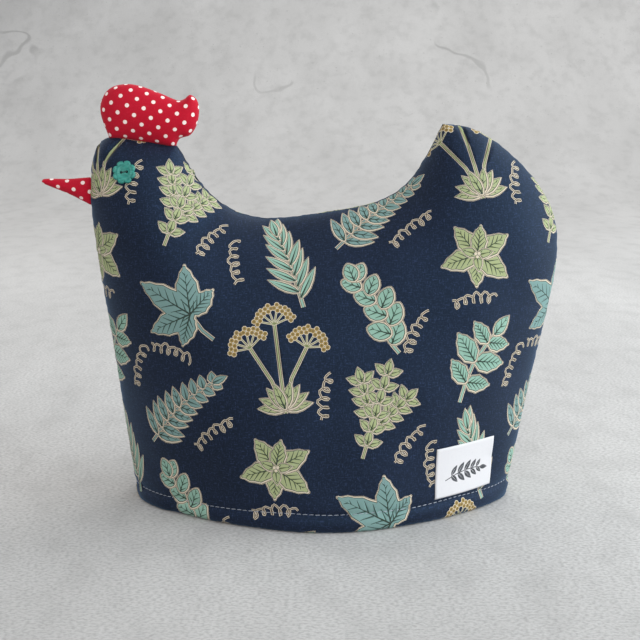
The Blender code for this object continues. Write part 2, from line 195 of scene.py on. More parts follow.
@dataclass(frozen=True)
class WovenCotton(Finish):
    """Plain woven cotton: over and under threads, slubs along them, and paler flecks between."""

    fleck: Colour = (0.5, 0.5, 0.5, 1.0)
    fleck_share: float = 0.25
    cloud_share: float = 0.12
    thread_pitch: float = 0.42
    thread_depth: float = 0.07
    sheen: float = 0.10
    gloss: float = 0.25
    tint: Colour = (1.0, 1.0, 1.0, 1.0)

    def ground(self, sketch: Sketch, place: bpy.types.NodeSocket) -> object:
        """The colour of the cloth before its flecks, which a printed finish changes."""
        return self.colour

    def dress(self, sketch: Sketch) -> None:
        """Adds the weave, its flecks, the faint clouds of wear and the fuzz.

        Args:
            sketch: the material that is dressed.
        """
        place = sketch.cloth()
        across = sketch.noise(place, (0.30, 1.7, 1.0))
        along = sketch.noise(place, (1.7, 0.30, 1.0))
        slubs = sketch.math("MAXIMUM", across, along)
        grain = sketch.noise(place, (1.1, 1.1, 1.0), 3.0)
        cloud = sketch.noise(place, (0.028, 0.028, 1.0), 4.0)
        share = sketch.share(slubs, 0.46, 0.74, sketch.step(grain, 0.36, 0.66))
        share = sketch.math("MULTIPLY", share, self.fleck_share)
        flecked = sketch.blend(share, self.ground(sketch, place), self.fleck)
        wear = sketch.share(cloud, 0.35, 0.75, self.cloud_share)
        sketch.set("Base Color", sketch.blend(wear, flecked, self.fleck))
        parts = sketch.node("SeparateXYZ", {0: place}).outputs
        waves = [
            sketch.math("SINE", sketch.math("MULTIPLY", part, math.pi / self.thread_pitch))
            for part in parts[:2]
        ]
        weave = sketch.math("MULTIPLY_ADD", sketch.math("MULTIPLY", *waves), 0.35, 0.35)
        height = sketch.math("MULTIPLY_ADD", slubs, 0.5, weave)
        sketch.bump(height, self.thread_depth, 0.6)
        sketch.set("Sheen Weight", self.sheen)
        sketch.set("Sheen Roughness", 0.4)
        sketch.set("Sheen Tint", self.tint)
        sketch.set("Specular IOR Level", self.gloss)
        sketch.set("Specular Tint", self.tint)


@dataclass(frozen=True)
class DottedCotton(WovenCotton):
    """Woven cotton with round dots on a centred square lattice."""

    dot: Colour = (0.9, 0.8, 0.75, 1.0)
    dot_radius: float = 1.10
    dot_pitch: float = 8.85
    dot_turn: float = math.radians(-8.6)
    dot_edge: float = 0.16

    def ground(self, sketch: Sketch, place: bpy.types.NodeSocket) -> object:
        """The red with its dots, whose edges wander a little with the threads.

        Args:
            sketch: the material that is dressed.
            place: the place on the flat cloth.

        Returns:
            The socket that holds the colour.
        """
        turned = sketch.node(
            "VectorRotate", {"Vector": place, "Angle": -self.dot_turn}, rotation_type="Z_AXIS"
        ).outputs[0]
        ways = []
        for shift in (0.0, 0.5):
            inputs = {0: turned, 1: (1.0 / self.dot_pitch,) * 3, 2: (shift,) * 3}
            cell = sketch.node("VectorMath", inputs, operation="MULTIPLY_ADD").outputs[0]
            parts = sketch.node("SeparateXYZ", {0: cell}).outputs
            off = [
                sketch.math("POWER", sketch.math("SUBTRACT", part, sketch.math("ROUND", part)), 2.0)
                for part in parts[:2]
            ]
            ways.append(sketch.math("SQRT", sketch.math("ADD", *off)))
        near = sketch.math("MULTIPLY", sketch.math("MINIMUM", *ways), self.dot_pitch)
        ragged = sketch.noise(place, (2.4, 2.4, 1.0))
        near = sketch.math("MULTIPLY_ADD", ragged, 0.25, sketch.math("SUBTRACT", near, 0.125))
        inside = sketch.step(near, self.dot_radius + self.dot_edge, self.dot_radius - self.dot_edge)
        return sketch.blend(inside, self.colour, self.dot)


@dataclass(frozen=True)
class MouldedPlastic(Finish):
    """Moulded plastic with a soft swirl in its colour and a thin gloss over it."""

    swirl: Colour = (0.2, 0.6, 0.55, 1.0)

    def dress(self, sketch: Sketch) -> None:
        """Adds the swirl, the faint unevenness of the moulding and the gloss.

        Args:
            sketch: the material that is dressed.
        """
        place = sketch.node("TexCoord", {}).outputs["Object"]
        swirl = sketch.noise(place, (420.0, 420.0, 900.0), 3.0)
        sketch.set("Base Color", sketch.blend(sketch.step(swirl, 0.4, 0.65), self.colour, self.swirl))
        sketch.bump(sketch.noise(place, (900.0, 900.0, 900.0)), 0.05, 0.3)
        sketch.set("Coat Weight", 0.12)
        sketch.set("Coat Roughness", 0.3)


@dataclass(frozen=True)
class TwistedThread(Finish):
    """Sewing thread: two plies laid round each other."""

    # the painted shade in the grooves between the plies
    shade: Colour = (0.2, 0.2, 0.2, 1.0)
    ply: float = 0.45

    def dress(self, sketch: Sketch) -> None:
        """Paints shade into the grooves between the plies and raises the plies.

        Args:
            sketch: the material that is dressed.
        """
        place = sketch.node("TexCoord", {}).outputs["Object"]
        parts = sketch.node("SeparateXYZ", {0: place}).outputs
        slant = sketch.math("MULTIPLY_ADD", parts[2], 2.2, parts[0])
        wave = sketch.math("SINE", sketch.math("MULTIPLY", slant, 2.0 * math.pi / (self.ply * MM)))
        height = sketch.math("MULTIPLY_ADD", wave, 0.5, 0.5)
        # painted shade: the colour darkens to the shade where the plies sink into their grooves
        sketch.set("Base Color", sketch.blend(sketch.step(height, 0.0, 0.5), self.shade, self.colour))
        sketch.bump(height, 0.05)
        sketch.set("Sheen Weight", 0.3)


@dataclass(frozen=True)
class PaleFloor(Finish):
    """Smooth pale plaster, cloudy in its tone, with strokes of the trowel, a fine grain and a few specks, and
    painted shade that darkens it towards the front.
    """

    marks_and_painted_shade: Colour = (0.3, 0.3, 0.3, 1.0)
    light: Colour = (0.7, 0.7, 0.7, 1.0)

    def dress(self, sketch: Sketch) -> None:
        """Adds the clouds, the strokes of the trowel, a few cracks far back, the grain and the pits.

        Args:
            sketch: the material that is dressed.
        """
        place = sketch.node("TexCoord", {}).outputs["Object"]
        cloud = sketch.noise(place, (7.0, 2.5, 7.0), 8.0)
        mottle = sketch.noise(place, (48.0, 30.0, 48.0), 6.0)
        grain = sketch.noise(place, (470.0, 700.0, 560.0), 3.0)
        parts = sketch.node("SeparateXYZ", {0: place}).outputs
        far = sketch.step(parts[1], 0.1, 1.5)
        pits = sketch.noise(place, (210.0, 170.0, 210.0), 1.0)
        tone = sketch.blend(sketch.step(cloud, 0.22, 0.78), self.colour, self.light)
        most_grain = sketch.math("MULTIPLY_ADD", far, -0.48, 0.62)
        # The first row is painted shade, darker towards the front of the floor; the others are the plaster's
        # own mottle, grain and pits.
        for value, low, high, most in (
            (parts[1], -0.08, -0.19, 0.26), (mottle, 0.42, 0.74, 0.24), (grain, 0.38, 0.70, most_grain),
            (pits, 0.70, 0.78, 0.45),
        ):
            tone = sketch.blend(sketch.share(value, low, high, most), tone, self.marks_and_painted_shade)
        wander = sketch.noise(place, (3.6, 3.6, 3.6), 3.0)
        crack = sketch.math("ABSOLUTE", sketch.math("SUBTRACT", wander, 0.5))
        patchy = sketch.step(sketch.noise(place, (5.5, 5.5, 4.5), 1.0), 0.53, 0.62)
        share = sketch.math(
            "MULTIPLY", sketch.share(crack, 0.011, 0.003, patchy), sketch.step(parts[2], 0.05, 0.3)
        )
        sketch.set("Base Color", sketch.blend(sketch.math("MULTIPLY", share, 0.55), tone, self.marks_and_painted_shade))
        sketch.bump(grain, 0.35, 0.8)


PALE_FLECK = paint(150, 165, 190)
BLUE_TINT = (0.23, 0.55, 1.0, 1.0)


def printed(name: str, colour: Colour) -> WovenCotton:
    """The printed cotton where it wears one ink."""
    return WovenCotton(name, colour, 0.8, fleck=PALE_FLECK, fleck_share=0.16, cloud_share=0.02, gloss=0.15)


class Ink(Enum):
    """What the printed cotton shows at a place, each with its finish."""

    NAVY = WovenCotton(
        "navy_ground", paint(22, 20, 28), 0.6, fleck=paint(80, 98, 144), fleck_share=0.27, cloud_share=0.03,
        sheen=0.25, gloss=0.4, tint=BLUE_TINT,
    )
    TEAL = printed("teal_ink", paint(120, 152, 147))
    TEAL_SHADE = printed("teal_shade_ink", paint(80, 110, 104))
    MINT = printed("mint_ink", paint(143, 180, 162))
    MINT_SHADE = printed("mint_shade_ink", paint(96, 134, 114))
    LIME = printed("lime_ink", paint(166, 175, 128))
    LIME_SHADE = printed("lime_shade_ink", paint(122, 130, 82))
    GOLD = printed("gold_ink", paint(150, 124, 62))
    CREAM = printed("cream_ink", paint(217, 204, 182))
    VEIN = printed("vein_ink", paint(46, 58, 46))
    EDGE = printed("edge_ink", paint(98, 86, 68))
    LINING = WovenCotton("plain_lining", paint(40, 48, 66), 0.8, fleck=PALE_FLECK, fleck_share=0.12)

    @property
    def shade(self) -> "Ink":
        """The darker ink that goes with a leaf's fill."""
        return Ink[self.name + "_SHADE"]


INKS = list(Ink)

RED_COTTON = DottedCotton(
    "red_dotted_cotton", paint(185, 9, 39), 0.8, fleck=paint(222, 66, 90), fleck_share=0.14,
    cloud_share=0.04, gloss=0.2, dot=paint(250, 232, 226),
)
TEAL_PLASTIC = MouldedPlastic("teal_button_plastic", paint(29, 124, 113), 0.42, paint(50, 148, 134))
WHITE_TAPE = WovenCotton(
    "white_woven_tape", paint(221, 219, 221), 0.7, fleck=paint(203, 202, 207), fleck_share=0.3,
    cloud_share=0.05, thread_pitch=0.3, thread_depth=0.04,
)
GREY_PRINT = WovenCotton(
    "grey_label_print", paint(66, 68, 72), 0.75, fleck=paint(190, 190, 196), fleck_share=0.3,
    cloud_share=0.05, thread_pitch=0.3, thread_depth=0.04,
)
PALE_THREAD = TwistedThread("pale_thread", paint(182, 188, 200), 0.7, paint(112, 118, 132))
DARK_THREAD = TwistedThread("dark_thread", paint(20, 62, 58), 0.7, paint(10, 30, 30))
PALE_PLASTER = PaleFloor(
    "pale_plaster", paint(186, 184, 182), 0.8, paint(147, 145, 143), paint(202, 200, 198)
)


# ---- outlines and distances ----


@dataclass(frozen=True)
class Knot:
    """A point that an outline passes through, smoothly or at a corner."""

    x: float
    z: float
    corner: bool = False


def knots(*rows: tuple) -> tuple[Knot, ...]:
    """Knots from rows of x, z and, for a corner, True."""
    return tuple(Knot(*row) for row in rows)


def heading(line: Sequence[Knot], index: int) -> Vector:
    """Direction of the curve at a knot, along the line between its neighbours, or none at a corner.

    Args:
        line: the outline's knots.
        index: which of them.

    Returns:
        The unit vector, or nought at a corner.
    """
    if line[index].corner:
        return Vector((0.0, 0.0))
    before, after = line[index - 1], line[index + 1]
    return Vector((after.x - before.x, after.z - before.z)).normalized()


def curve_through(line: Sequence[Knot], step: float) -> np.ndarray:
    """The smooth curve through the knots.

    Args:
        line: the knots, the first and the last of them corners.
        step: about how far apart the points are.

    Returns:
        The curve's points, one row each, with both ends.
    """
    points = []
    for index, (first, last) in enumerate(zip(line, line[1:])):
        start, end = Vector((first.x, first.z)), Vector((last.x, last.z))
        reach = (end - start).length / 3.0
        leaving = start + reach * heading(line, index)
        arriving = end - reach * heading(line, index + 1)
        pieces = max(1, round((end - start).length / step))
        points += [tuple(p) for p in interpolate_bezier(start, leaving, arriving, end, pieces + 1)[:-1]]
    return np.array(points + [(line[-1].x, line[-1].z)])


def unit(rows: np.ndarray) -> np.ndarray:
    """Rows scaled to a length of one."""
    return rows / np.linalg.norm(rows, axis=1)[:, None]


def pieces_of(line: np.ndarray, closed: bool = False) -> np.ndarray:
    """The straight pieces of a line, as an array of start and end points.

    Args:
        line: its points, one row each.
        closed: whether its end joins its start.

    Returns:
        One row of two points for each piece.
    """
    ends = np.roll(line, -1, axis=0) if closed else line[1:]
    starts = line if closed else line[:-1]
    return np.stack([starts, ends], axis=1)


@dataclass
class Nearest:
    """The nearest place on a line to each point: how far, how far along, and the line's right-hand side."""

    distance: np.ndarray
    along: np.ndarray
    side: np.ndarray


def nearest_on(points: np.ndarray, pieces: np.ndarray) -> Nearest:
    """Finds the nearest place on a line for each point.

    Args:
        points: the points, one row each.
        pieces: the line's straight pieces.

    Returns:
        The distance, the length along the line and the unit vector to the line's right.
    """
    run = pieces[:, 1] - pieces[:, 0]
    length = np.maximum(np.linalg.norm(run, axis=1), TINY)
    before = np.concatenate([[0.0], np.cumsum(length)[:-1]])
    rows = []
    for low in range(0, len(points), CHUNK):
        part = points[low : low + CHUNK]
        offset = part[:, None] - pieces[None, :, 0]
        share = np.clip((offset * run).sum(-1) / length**2, 0.0, 1.0)
        gap = offset - share[..., None] * run
        square = (gap**2).sum(-1)
        best = square.argmin(1)
        row = np.arange(len(part))
        way = run[best] / length[best, None]
        along = before[best] + share[row, best] * length[best]
        rows.append(np.column_stack([np.sqrt(square[row, best]), along, way[:, 1], -way[:, 0]]))
    found = np.concatenate(rows)
    return Nearest(found[:, 0], found[:, 1], found[:, 2:])


def pull_of(points: np.ndarray, pieces: np.ndarray) -> tuple[np.ndarray, np.ndarray]:
    """How strongly a line pulls at each point, as the cube of the distance falls, and how that changes.

    Args:
        points: the points, one row each.
        pieces: the line's straight pieces.

    Returns:
        The pull at each point, and its slope along both directions.
    """
    run = pieces[:, 1] - pieces[:, 0]
    length = np.maximum(np.linalg.norm(run, axis=1), TINY)
    way = run / length[:, None]
    side = np.column_stack([way[:, 1], -way[:, 0]])
    pulls, slopes = [], []
    for low in range(0, len(points), CHUNK):
        offset = points[low : low + CHUNK, None] - pieces[None, :, 0]
        near = (offset * way).sum(-1)
        far = near - length
        aside = (offset * side).sum(-1)
        aside = np.where(np.abs(aside) < 0.01, np.where(aside < 0.0, -0.01, 0.01), aside)
        near_root, far_root = np.hypot(aside, near), np.hypot(aside, far)
        pull = (near / near_root - far / far_root) / aside**2
        ahead = near_root**-3 - far_root**-3
        beside = -2.0 * pull / aside - (near / near_root**3 - far / far_root**3) / aside
        pulls.append(pull.sum(1))
        slopes.append(ahead @ way + beside @ side)
    return np.maximum(np.concatenate(pulls), TINY), np.concatenate(slopes)


def inside_of(points: np.ndarray, outline: np.ndarray) -> np.ndarray:
    """Which points lie inside a closed outline, by counting the sides to the right of each.

    Args:
        points: the points, one row each.
        outline: the outline's points.

    Returns:
        True for each point inside.
    """
    inside = np.zeros(len(points), bool)
    after = np.roll(outline, -1, axis=0)
    for low in range(0, len(points), CHUNK):
        x, z = points[low : low + CHUNK, 0, None], points[low : low + CHUNK, 1, None]
        spans = (outline[:, 1] > z) != (after[:, 1] > z)
        rise = np.where(spans, after[:, 1] - outline[:, 1], 1.0)
        right = spans & (x < outline[:, 0] + (z - outline[:, 1]) * (after[:, 0] - outline[:, 0]) / rise)
        inside[low : low + CHUNK] = right.sum(1) % 2 == 1
    return inside


def hexagon_grid(outline: np.ndarray, spacing: float, clear: float) -> np.ndarray:
    """Points of a triangular grid inside an outline.

    Args:
        outline: the closed outline.
        spacing: how far apart the points are.
        clear: how far they stay from the outline.

    Returns:
        The grid's points, one row each.
    """
    low, high = outline.min(0), outline.max(0)
    rows = np.arange(low[1], high[1], spacing * math.sqrt(0.75))
    grid = np.array(
        [
            (x + spacing / 2.0 * (n % 2), z)
            for n, z in enumerate(rows)
            for x in np.arange(low[0], high[0], spacing)
        ]
    )
    grid = grid[inside_of(grid, outline)]
    return grid[nearest_on(grid, pieces_of(outline, True)).distance > clear]


def rings_inside(outline: np.ndarray, rings: Sequence[tuple[float, int]]) -> np.ndarray:
    """Points set in from a closed outline that runs anticlockwise.

    Args:
        outline: the outline's points.
        rings: for each ring its distance from the outline, and that it takes each so many'th point.

    Returns:
        The points that no other side of the outline is nearer to.
    """
    way = unit(np.roll(outline, -1, axis=0) - np.roll(outline, 1, axis=0))
    inward = np.column_stack([-way[:, 1], way[:, 0]])
    sides = pieces_of(outline, True)
    found = []
    for distance, every in rings:
        ring = (outline + inward * distance)[::every]
        keep = inside_of(ring, outline) & (nearest_on(ring, sides).distance > 0.85 * distance)
        found.append(ring[keep])
    return np.concatenate(found)


# ---- cloth cut flat ----


@dataclass
class Patch:
    """One printed shape: its outline on the flat cloth, and its place in the list of finishes."""

    outline: np.ndarray
    ink: int


@dataclass
class Tiling:
    """A flat sheet in triangles: its points, corners of each triangle, each one's finish, and its rim.

    The rim holds, for each side of the border, the points from its start up to its end.
    """

    points: np.ndarray
    faces: np.ndarray
    inks: np.ndarray
    rim: list[list[int]]


def loops_of(groups: Sequence[np.ndarray]) -> list[tuple[int, int]]:
    """The sides of closed outlines whose points are numbered one outline after the other.

    Args:
        groups: the outlines.

    Returns:
        The numbers of each side's two ends.
    """
    sides: list[tuple[int, int]] = []
    for group in groups:
        start, count = len(sides), len(group)
        sides += [(start + i, start + (i + 1) % count) for i in range(count)]
    return sides


def triangles(border: np.ndarray, points: np.ndarray, sides: Sequence) -> tuple[np.ndarray, np.ndarray, list]:
    """Cuts what lies inside a border into triangles along given sides.

    Args:
        border: the outline, whose points come first among the points.
        points: all the points that the triangles take as corners.
        sides: pairs of points that are joined.

    Returns:
        The corners, the triangles, and for each corner the points that it was made from.
    """
    made = delaunay_2d_cdt([Vector(point) for point in points], sides, [], 0, JOIN, True)
    corners = np.array([tuple(p) for p in made[0]])
    faces = np.array([tuple(face) for face in made[2]])
    return corners, faces[inside_of(corners[faces].mean(1), border)], made[3]


def painted(border: np.ndarray, patches: Sequence[Patch]) -> Tiling:
    """Lays printed shapes over each other on a flat sheet.

    Args:
        border: the sheet's outline.
        patches: the printed shapes, the bottom one first.

    Returns:
        The sheet in triangles, with what shows on each.
    """
    groups = [border] + [patch.outline for patch in patches]
    points, faces, sources = triangles(border, np.concatenate(groups), loops_of(groups))
    middles = points[faces].mean(1)
    inks = np.zeros(len(faces), int)
    order = middles[:, 0].argsort()
    across = middles[order, 0]
    for patch in patches:
        low, high = patch.outline.min(0), patch.outline.max(0)
        near = order[np.searchsorted(across, low[0]) : np.searchsorted(across, high[0])]
        near = near[(middles[near, 1] > low[1]) & (middles[near, 1] < high[1])]
        if len(near):
            inks[near[inside_of(middles[near], patch.outline)]] = patch.ink
    return Tiling(points, faces, inks, rim_of(faces, sources, range(len(border))))


def tile(border: np.ndarray, inside: np.ndarray, patches: Sequence[Patch] = ()) -> Tiling:
    """Cuts a flat sheet into triangles that follow its border and what shows of its print.

    Args:
        border: the sheet's outline, anticlockwise.
        inside: further points that the triangles take as corners, where no printed edge is near.
        patches: the printed shapes, the bottom one first.

    Returns:
        The sheet's triangles, those of the first finish where nothing is printed.
    """
    if not patches:
        points, faces, sources = triangles(border, np.concatenate([border, inside]), loops_of([border]))
        return Tiling(points, faces, np.zeros(len(faces), int), rim_of(faces, sources, range(len(border))))
    drawn = painted(border, patches)
    edges = np.concatenate([drawn.faces[:, [0, 1]], drawn.faces[:, [1, 2]], drawn.faces[:, [2, 0]]])
    owner = np.tile(drawn.inks, 3)
    edges = np.sort(edges, axis=1)
    order = np.lexsort((edges[:, 1], edges[:, 0]))
    edges, owner = edges[order], owner[order]
    twins = np.flatnonzero((edges[1:] == edges[:-1]).all(1))
    edges = edges[twins[owner[twins] != owner[twins + 1]]]
    ring = np.array([point for side in drawn.rim for point in side])
    edges = np.concatenate([np.column_stack([ring, np.roll(ring, -1)]), edges])
    used, numbers = np.unique(edges, return_inverse=True)
    kept = drawn.points[used]
    tree = KDTree(len(kept))
    for number, place in enumerate(kept):
        tree.insert((*place, 0.0), number)
    tree.balance()
    inside = np.array([p for p in inside if tree.find((*p, 0.0))[2] > PRINT_CLEAR])
    around = drawn.points[ring]
    points, faces, sources = triangles(
        around, np.concatenate([kept, inside]), numbers.reshape(-1, 2).tolist()
    )
    flat = BVHTree.FromPolygons([Vector((*p, 0.0)) for p in drawn.points], drawn.faces.tolist())
    inks = drawn.inks[[flat.find_nearest(Vector((*p, 0.0)))[2] for p in points[faces].mean(1)]]
    corners = np.searchsorted(used, [side[0] for side in drawn.rim]).tolist()
    return Tiling(points, faces, inks, rim_of(faces, sources, corners))


def rim_of(faces: np.ndarray, sources: list, corners: Sequence[int]) -> list[list[int]]:
    """The border of a tiling, side by side.

    Args:
        faces: the corners of each triangle.
        sources: for each point of the tiling, the points that it was made from.
        corners: which of those were the border's corners, in order.

    Returns:
        For each side of the border, its points in order, without the last.
    """
    edges = {(a, b) for face in faces.tolist() for a, b in zip(face, face[1:] + face[:1])}
    following = {a: b for a, b in edges if (b, a) not in edges}
    number = {source: side for side, source in enumerate(corners)}
    starts = {
        new: number[source]
        for new, group in enumerate(sources)
        for source in group
        if source in number
    }
    at = next(new for new, side in starts.items() if side == 0)
    sides: list[list[int]] = [[] for _ in corners]
    side = 0
    for _ in range(len(following)):
        side = starts.get(at, side)
        sides[side].append(at)
        at = following[at]
    return sides


def flattened(points: np.ndarray, faces: np.ndarray) -> np.ndarray:
    """The flat cut of a curved sheet, stretched as little as can be, turned the way its x and z run.

    Args:
        points: the sheet's points in space.
        faces: the corners of each triangle.

    Returns:
        Each point's place on the flat cloth, in millimetres.
    """
    mesh = bpy.data.meshes.new("cut")
    mesh.from_pydata((points * MM).tolist(), [], faces.tolist())
    mesh.uv_layers.new(name=CLOTH_MAP)
    sheet = added("cut", mesh)
    bpy.ops.object.select_all(action="DESELECT")
    sheet.select_set(True)
    bpy.context.view_layer.objects.active = sheet
    bpy.ops.object.mode_set(mode="EDIT")
    bpy.ops.mesh.select_all(action="SELECT")
    bpy.ops.uv.unwrap(method="MINIMUM_STRETCH", margin=0.0, correct_aspect=False, iterations=30)
    bpy.ops.object.mode_set(mode="OBJECT")
    corners = np.zeros(len(mesh.loops), int)
    mesh.loops.foreach_get("vertex_index", corners)
    places = np.zeros(len(mesh.loops) * 2, np.float32)
    mesh.uv_layers[CLOTH_MAP].data.foreach_get("uv", places)
    flat = np.zeros((len(points), 2))
    flat[corners] = places.reshape(-1, 2)
    bpy.data.objects.remove(sheet)
    bpy.data.meshes.remove(mesh)
    a, b, c = (points[faces[:, i]] for i in range(3))
    area = np.linalg.norm(np.cross(b - a, c - a), axis=1).sum()
    p, q, r = (flat[faces[:, i]] for i in range(3))
    cut = np.abs(np.cross(q - p, r - p)).sum()
    flat *= math.sqrt(area / cut)
    level = points[:, [0, 2]]
    flat -= flat.mean(0)
    turn_u, _, turn_v = np.linalg.svd(flat.T @ (level - level.mean(0)))
    return flat @ turn_u @ turn_v + level.mean(0)


class FlatMap:
    """Carries places from one flat triangulation to another of the same triangles."""

    def __init__(self, source: np.ndarray, target: np.ndarray, faces: np.ndarray) -> None:
        """Keeps both sets of corners.

        Args:
            source: the corners where places are given.
            target: the same corners where places are wanted.
            faces: the corners of each triangle.
        """
        self.faces = faces.tolist()
        self.source = [Vector((*p, 0.0)) for p in source]
        self.target = [Vector((*p, 0.0)) for p in target]
        self.tree = BVHTree.FromPolygons(self.source, self.faces)

    def __call__(self, places: np.ndarray) -> np.ndarray:
        """The places carried over, one row each.

        Args:
            places: places in the first triangulation.

        Returns:
            The same places in the second.
        """
        found = []
        for place in places:
            spot, _, index, _ = self.tree.find_nearest(Vector((*place, 0.0)))
            face = self.faces[index]
            corners = [self.source[i] for i in face] + [self.target[i] for i in face]
            found.append(barycentric_transform(spot, *corners)[:2])
        return np.array(found)


def added(name: str, data: bpy.types.ID) -> bpy.types.Object:
    """Adds an object to the scene.

    Args:
        name: its name.
        data: its mesh, light or camera.

    Returns:
        The new object.
    """
    made = bpy.data.objects.new(name, data)
    bpy.context.scene.collection.objects.link(made)
    return made


def add_mesh(name: str, points: np.ndarray, faces: list, finishes: Sequence[Finish]) -> bpy.types.Object:
    """Adds a smooth mesh, given in millimetres, that rides on the cosy's only body.

    Args:
        name: the piece's name.
        points: its points, one row each.
        faces: the corners of each face.
        finishes: its finishes, in the order of its material slots.

    Returns:
        The new object.
    """
    mesh = bpy.data.meshes.new(name)
    mesh.from_pydata((np.asarray(points) * MM).tolist(), [], faces)
    for finish in finishes:
        mesh.materials.append(finish.material())
    mesh.shade_smooth()
    made = added(name, mesh)
    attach(made, BODY)
    return made


def map_cloth(piece: bpy.types.Object, places: np.ndarray) -> None:
    """Gives each point of a piece its place on the flat cloth, in millimetres, as the weave's map.

    Args:
        piece: the piece.
        places: the places, one row for each of its points.
    """
    mesh = piece.data
    corners = np.zeros(len(mesh.loops), int)
    mesh.loops.foreach_get("vertex_index", corners)
    layer = mesh.uv_layers.get(CLOTH_MAP) or mesh.uv_layers.new(name=CLOTH_MAP)
    layer.data.foreach_set("uv", (places / CLOTH_SPAN + 0.5)[corners].ravel().astype(np.float32))


# ---- the print ----


def blade(
    length: float, width: float, round_tip: bool, margin: float, count: int = 8, teeth: float = 0.0
) -> np.ndarray:
    """Outline of a leaf with its foot at the origin and its tip on the first axis.

    Args:
        length: from foot to tip.
        width: where it is widest.
        round_tip: whether it ends round, or in a point.
        margin: how far the outline runs outside the leaf.
        count: points on each side.
        teeth: how far its edge stands out and in by turns.

    Returns:
        The outline, anticlockwise.
    """
    share = (1.0 - np.cos(np.linspace(0.0, math.pi, count + 2))) / 2.0
    bend = 0.92 if round_tip else 0.80
    half = np.sin(math.pi * share**bend) ** (0.62 if round_tip else 0.88) * (width / 2.0 + margin)
    half[1:-1] += teeth * np.cos(math.pi * np.arange(count))
    along = -margin + share * (length + 2.0 * margin)
    right = np.column_stack([along, -half])
    left = np.column_stack([along, half])[::-1]
    return np.concatenate([right, left[1:-1]])


def turned(points: np.ndarray, angle: float, foot: Sequence[float]) -> np.ndarray:
    """Points turned about the origin by an angle in degrees, then moved to a foot."""
    c, s = math.cos(math.radians(angle)), math.sin(math.radians(angle))
    return points @ np.array([[c, s], [-s, c]]) + np.array(foot)


def ahead(foot: Sequence[float], turn: float, length: float) -> np.ndarray:
    """The place a length away from a foot, in a direction given in degrees."""
    return turned(np.array([(length, 0.0)]), turn, foot)[0]


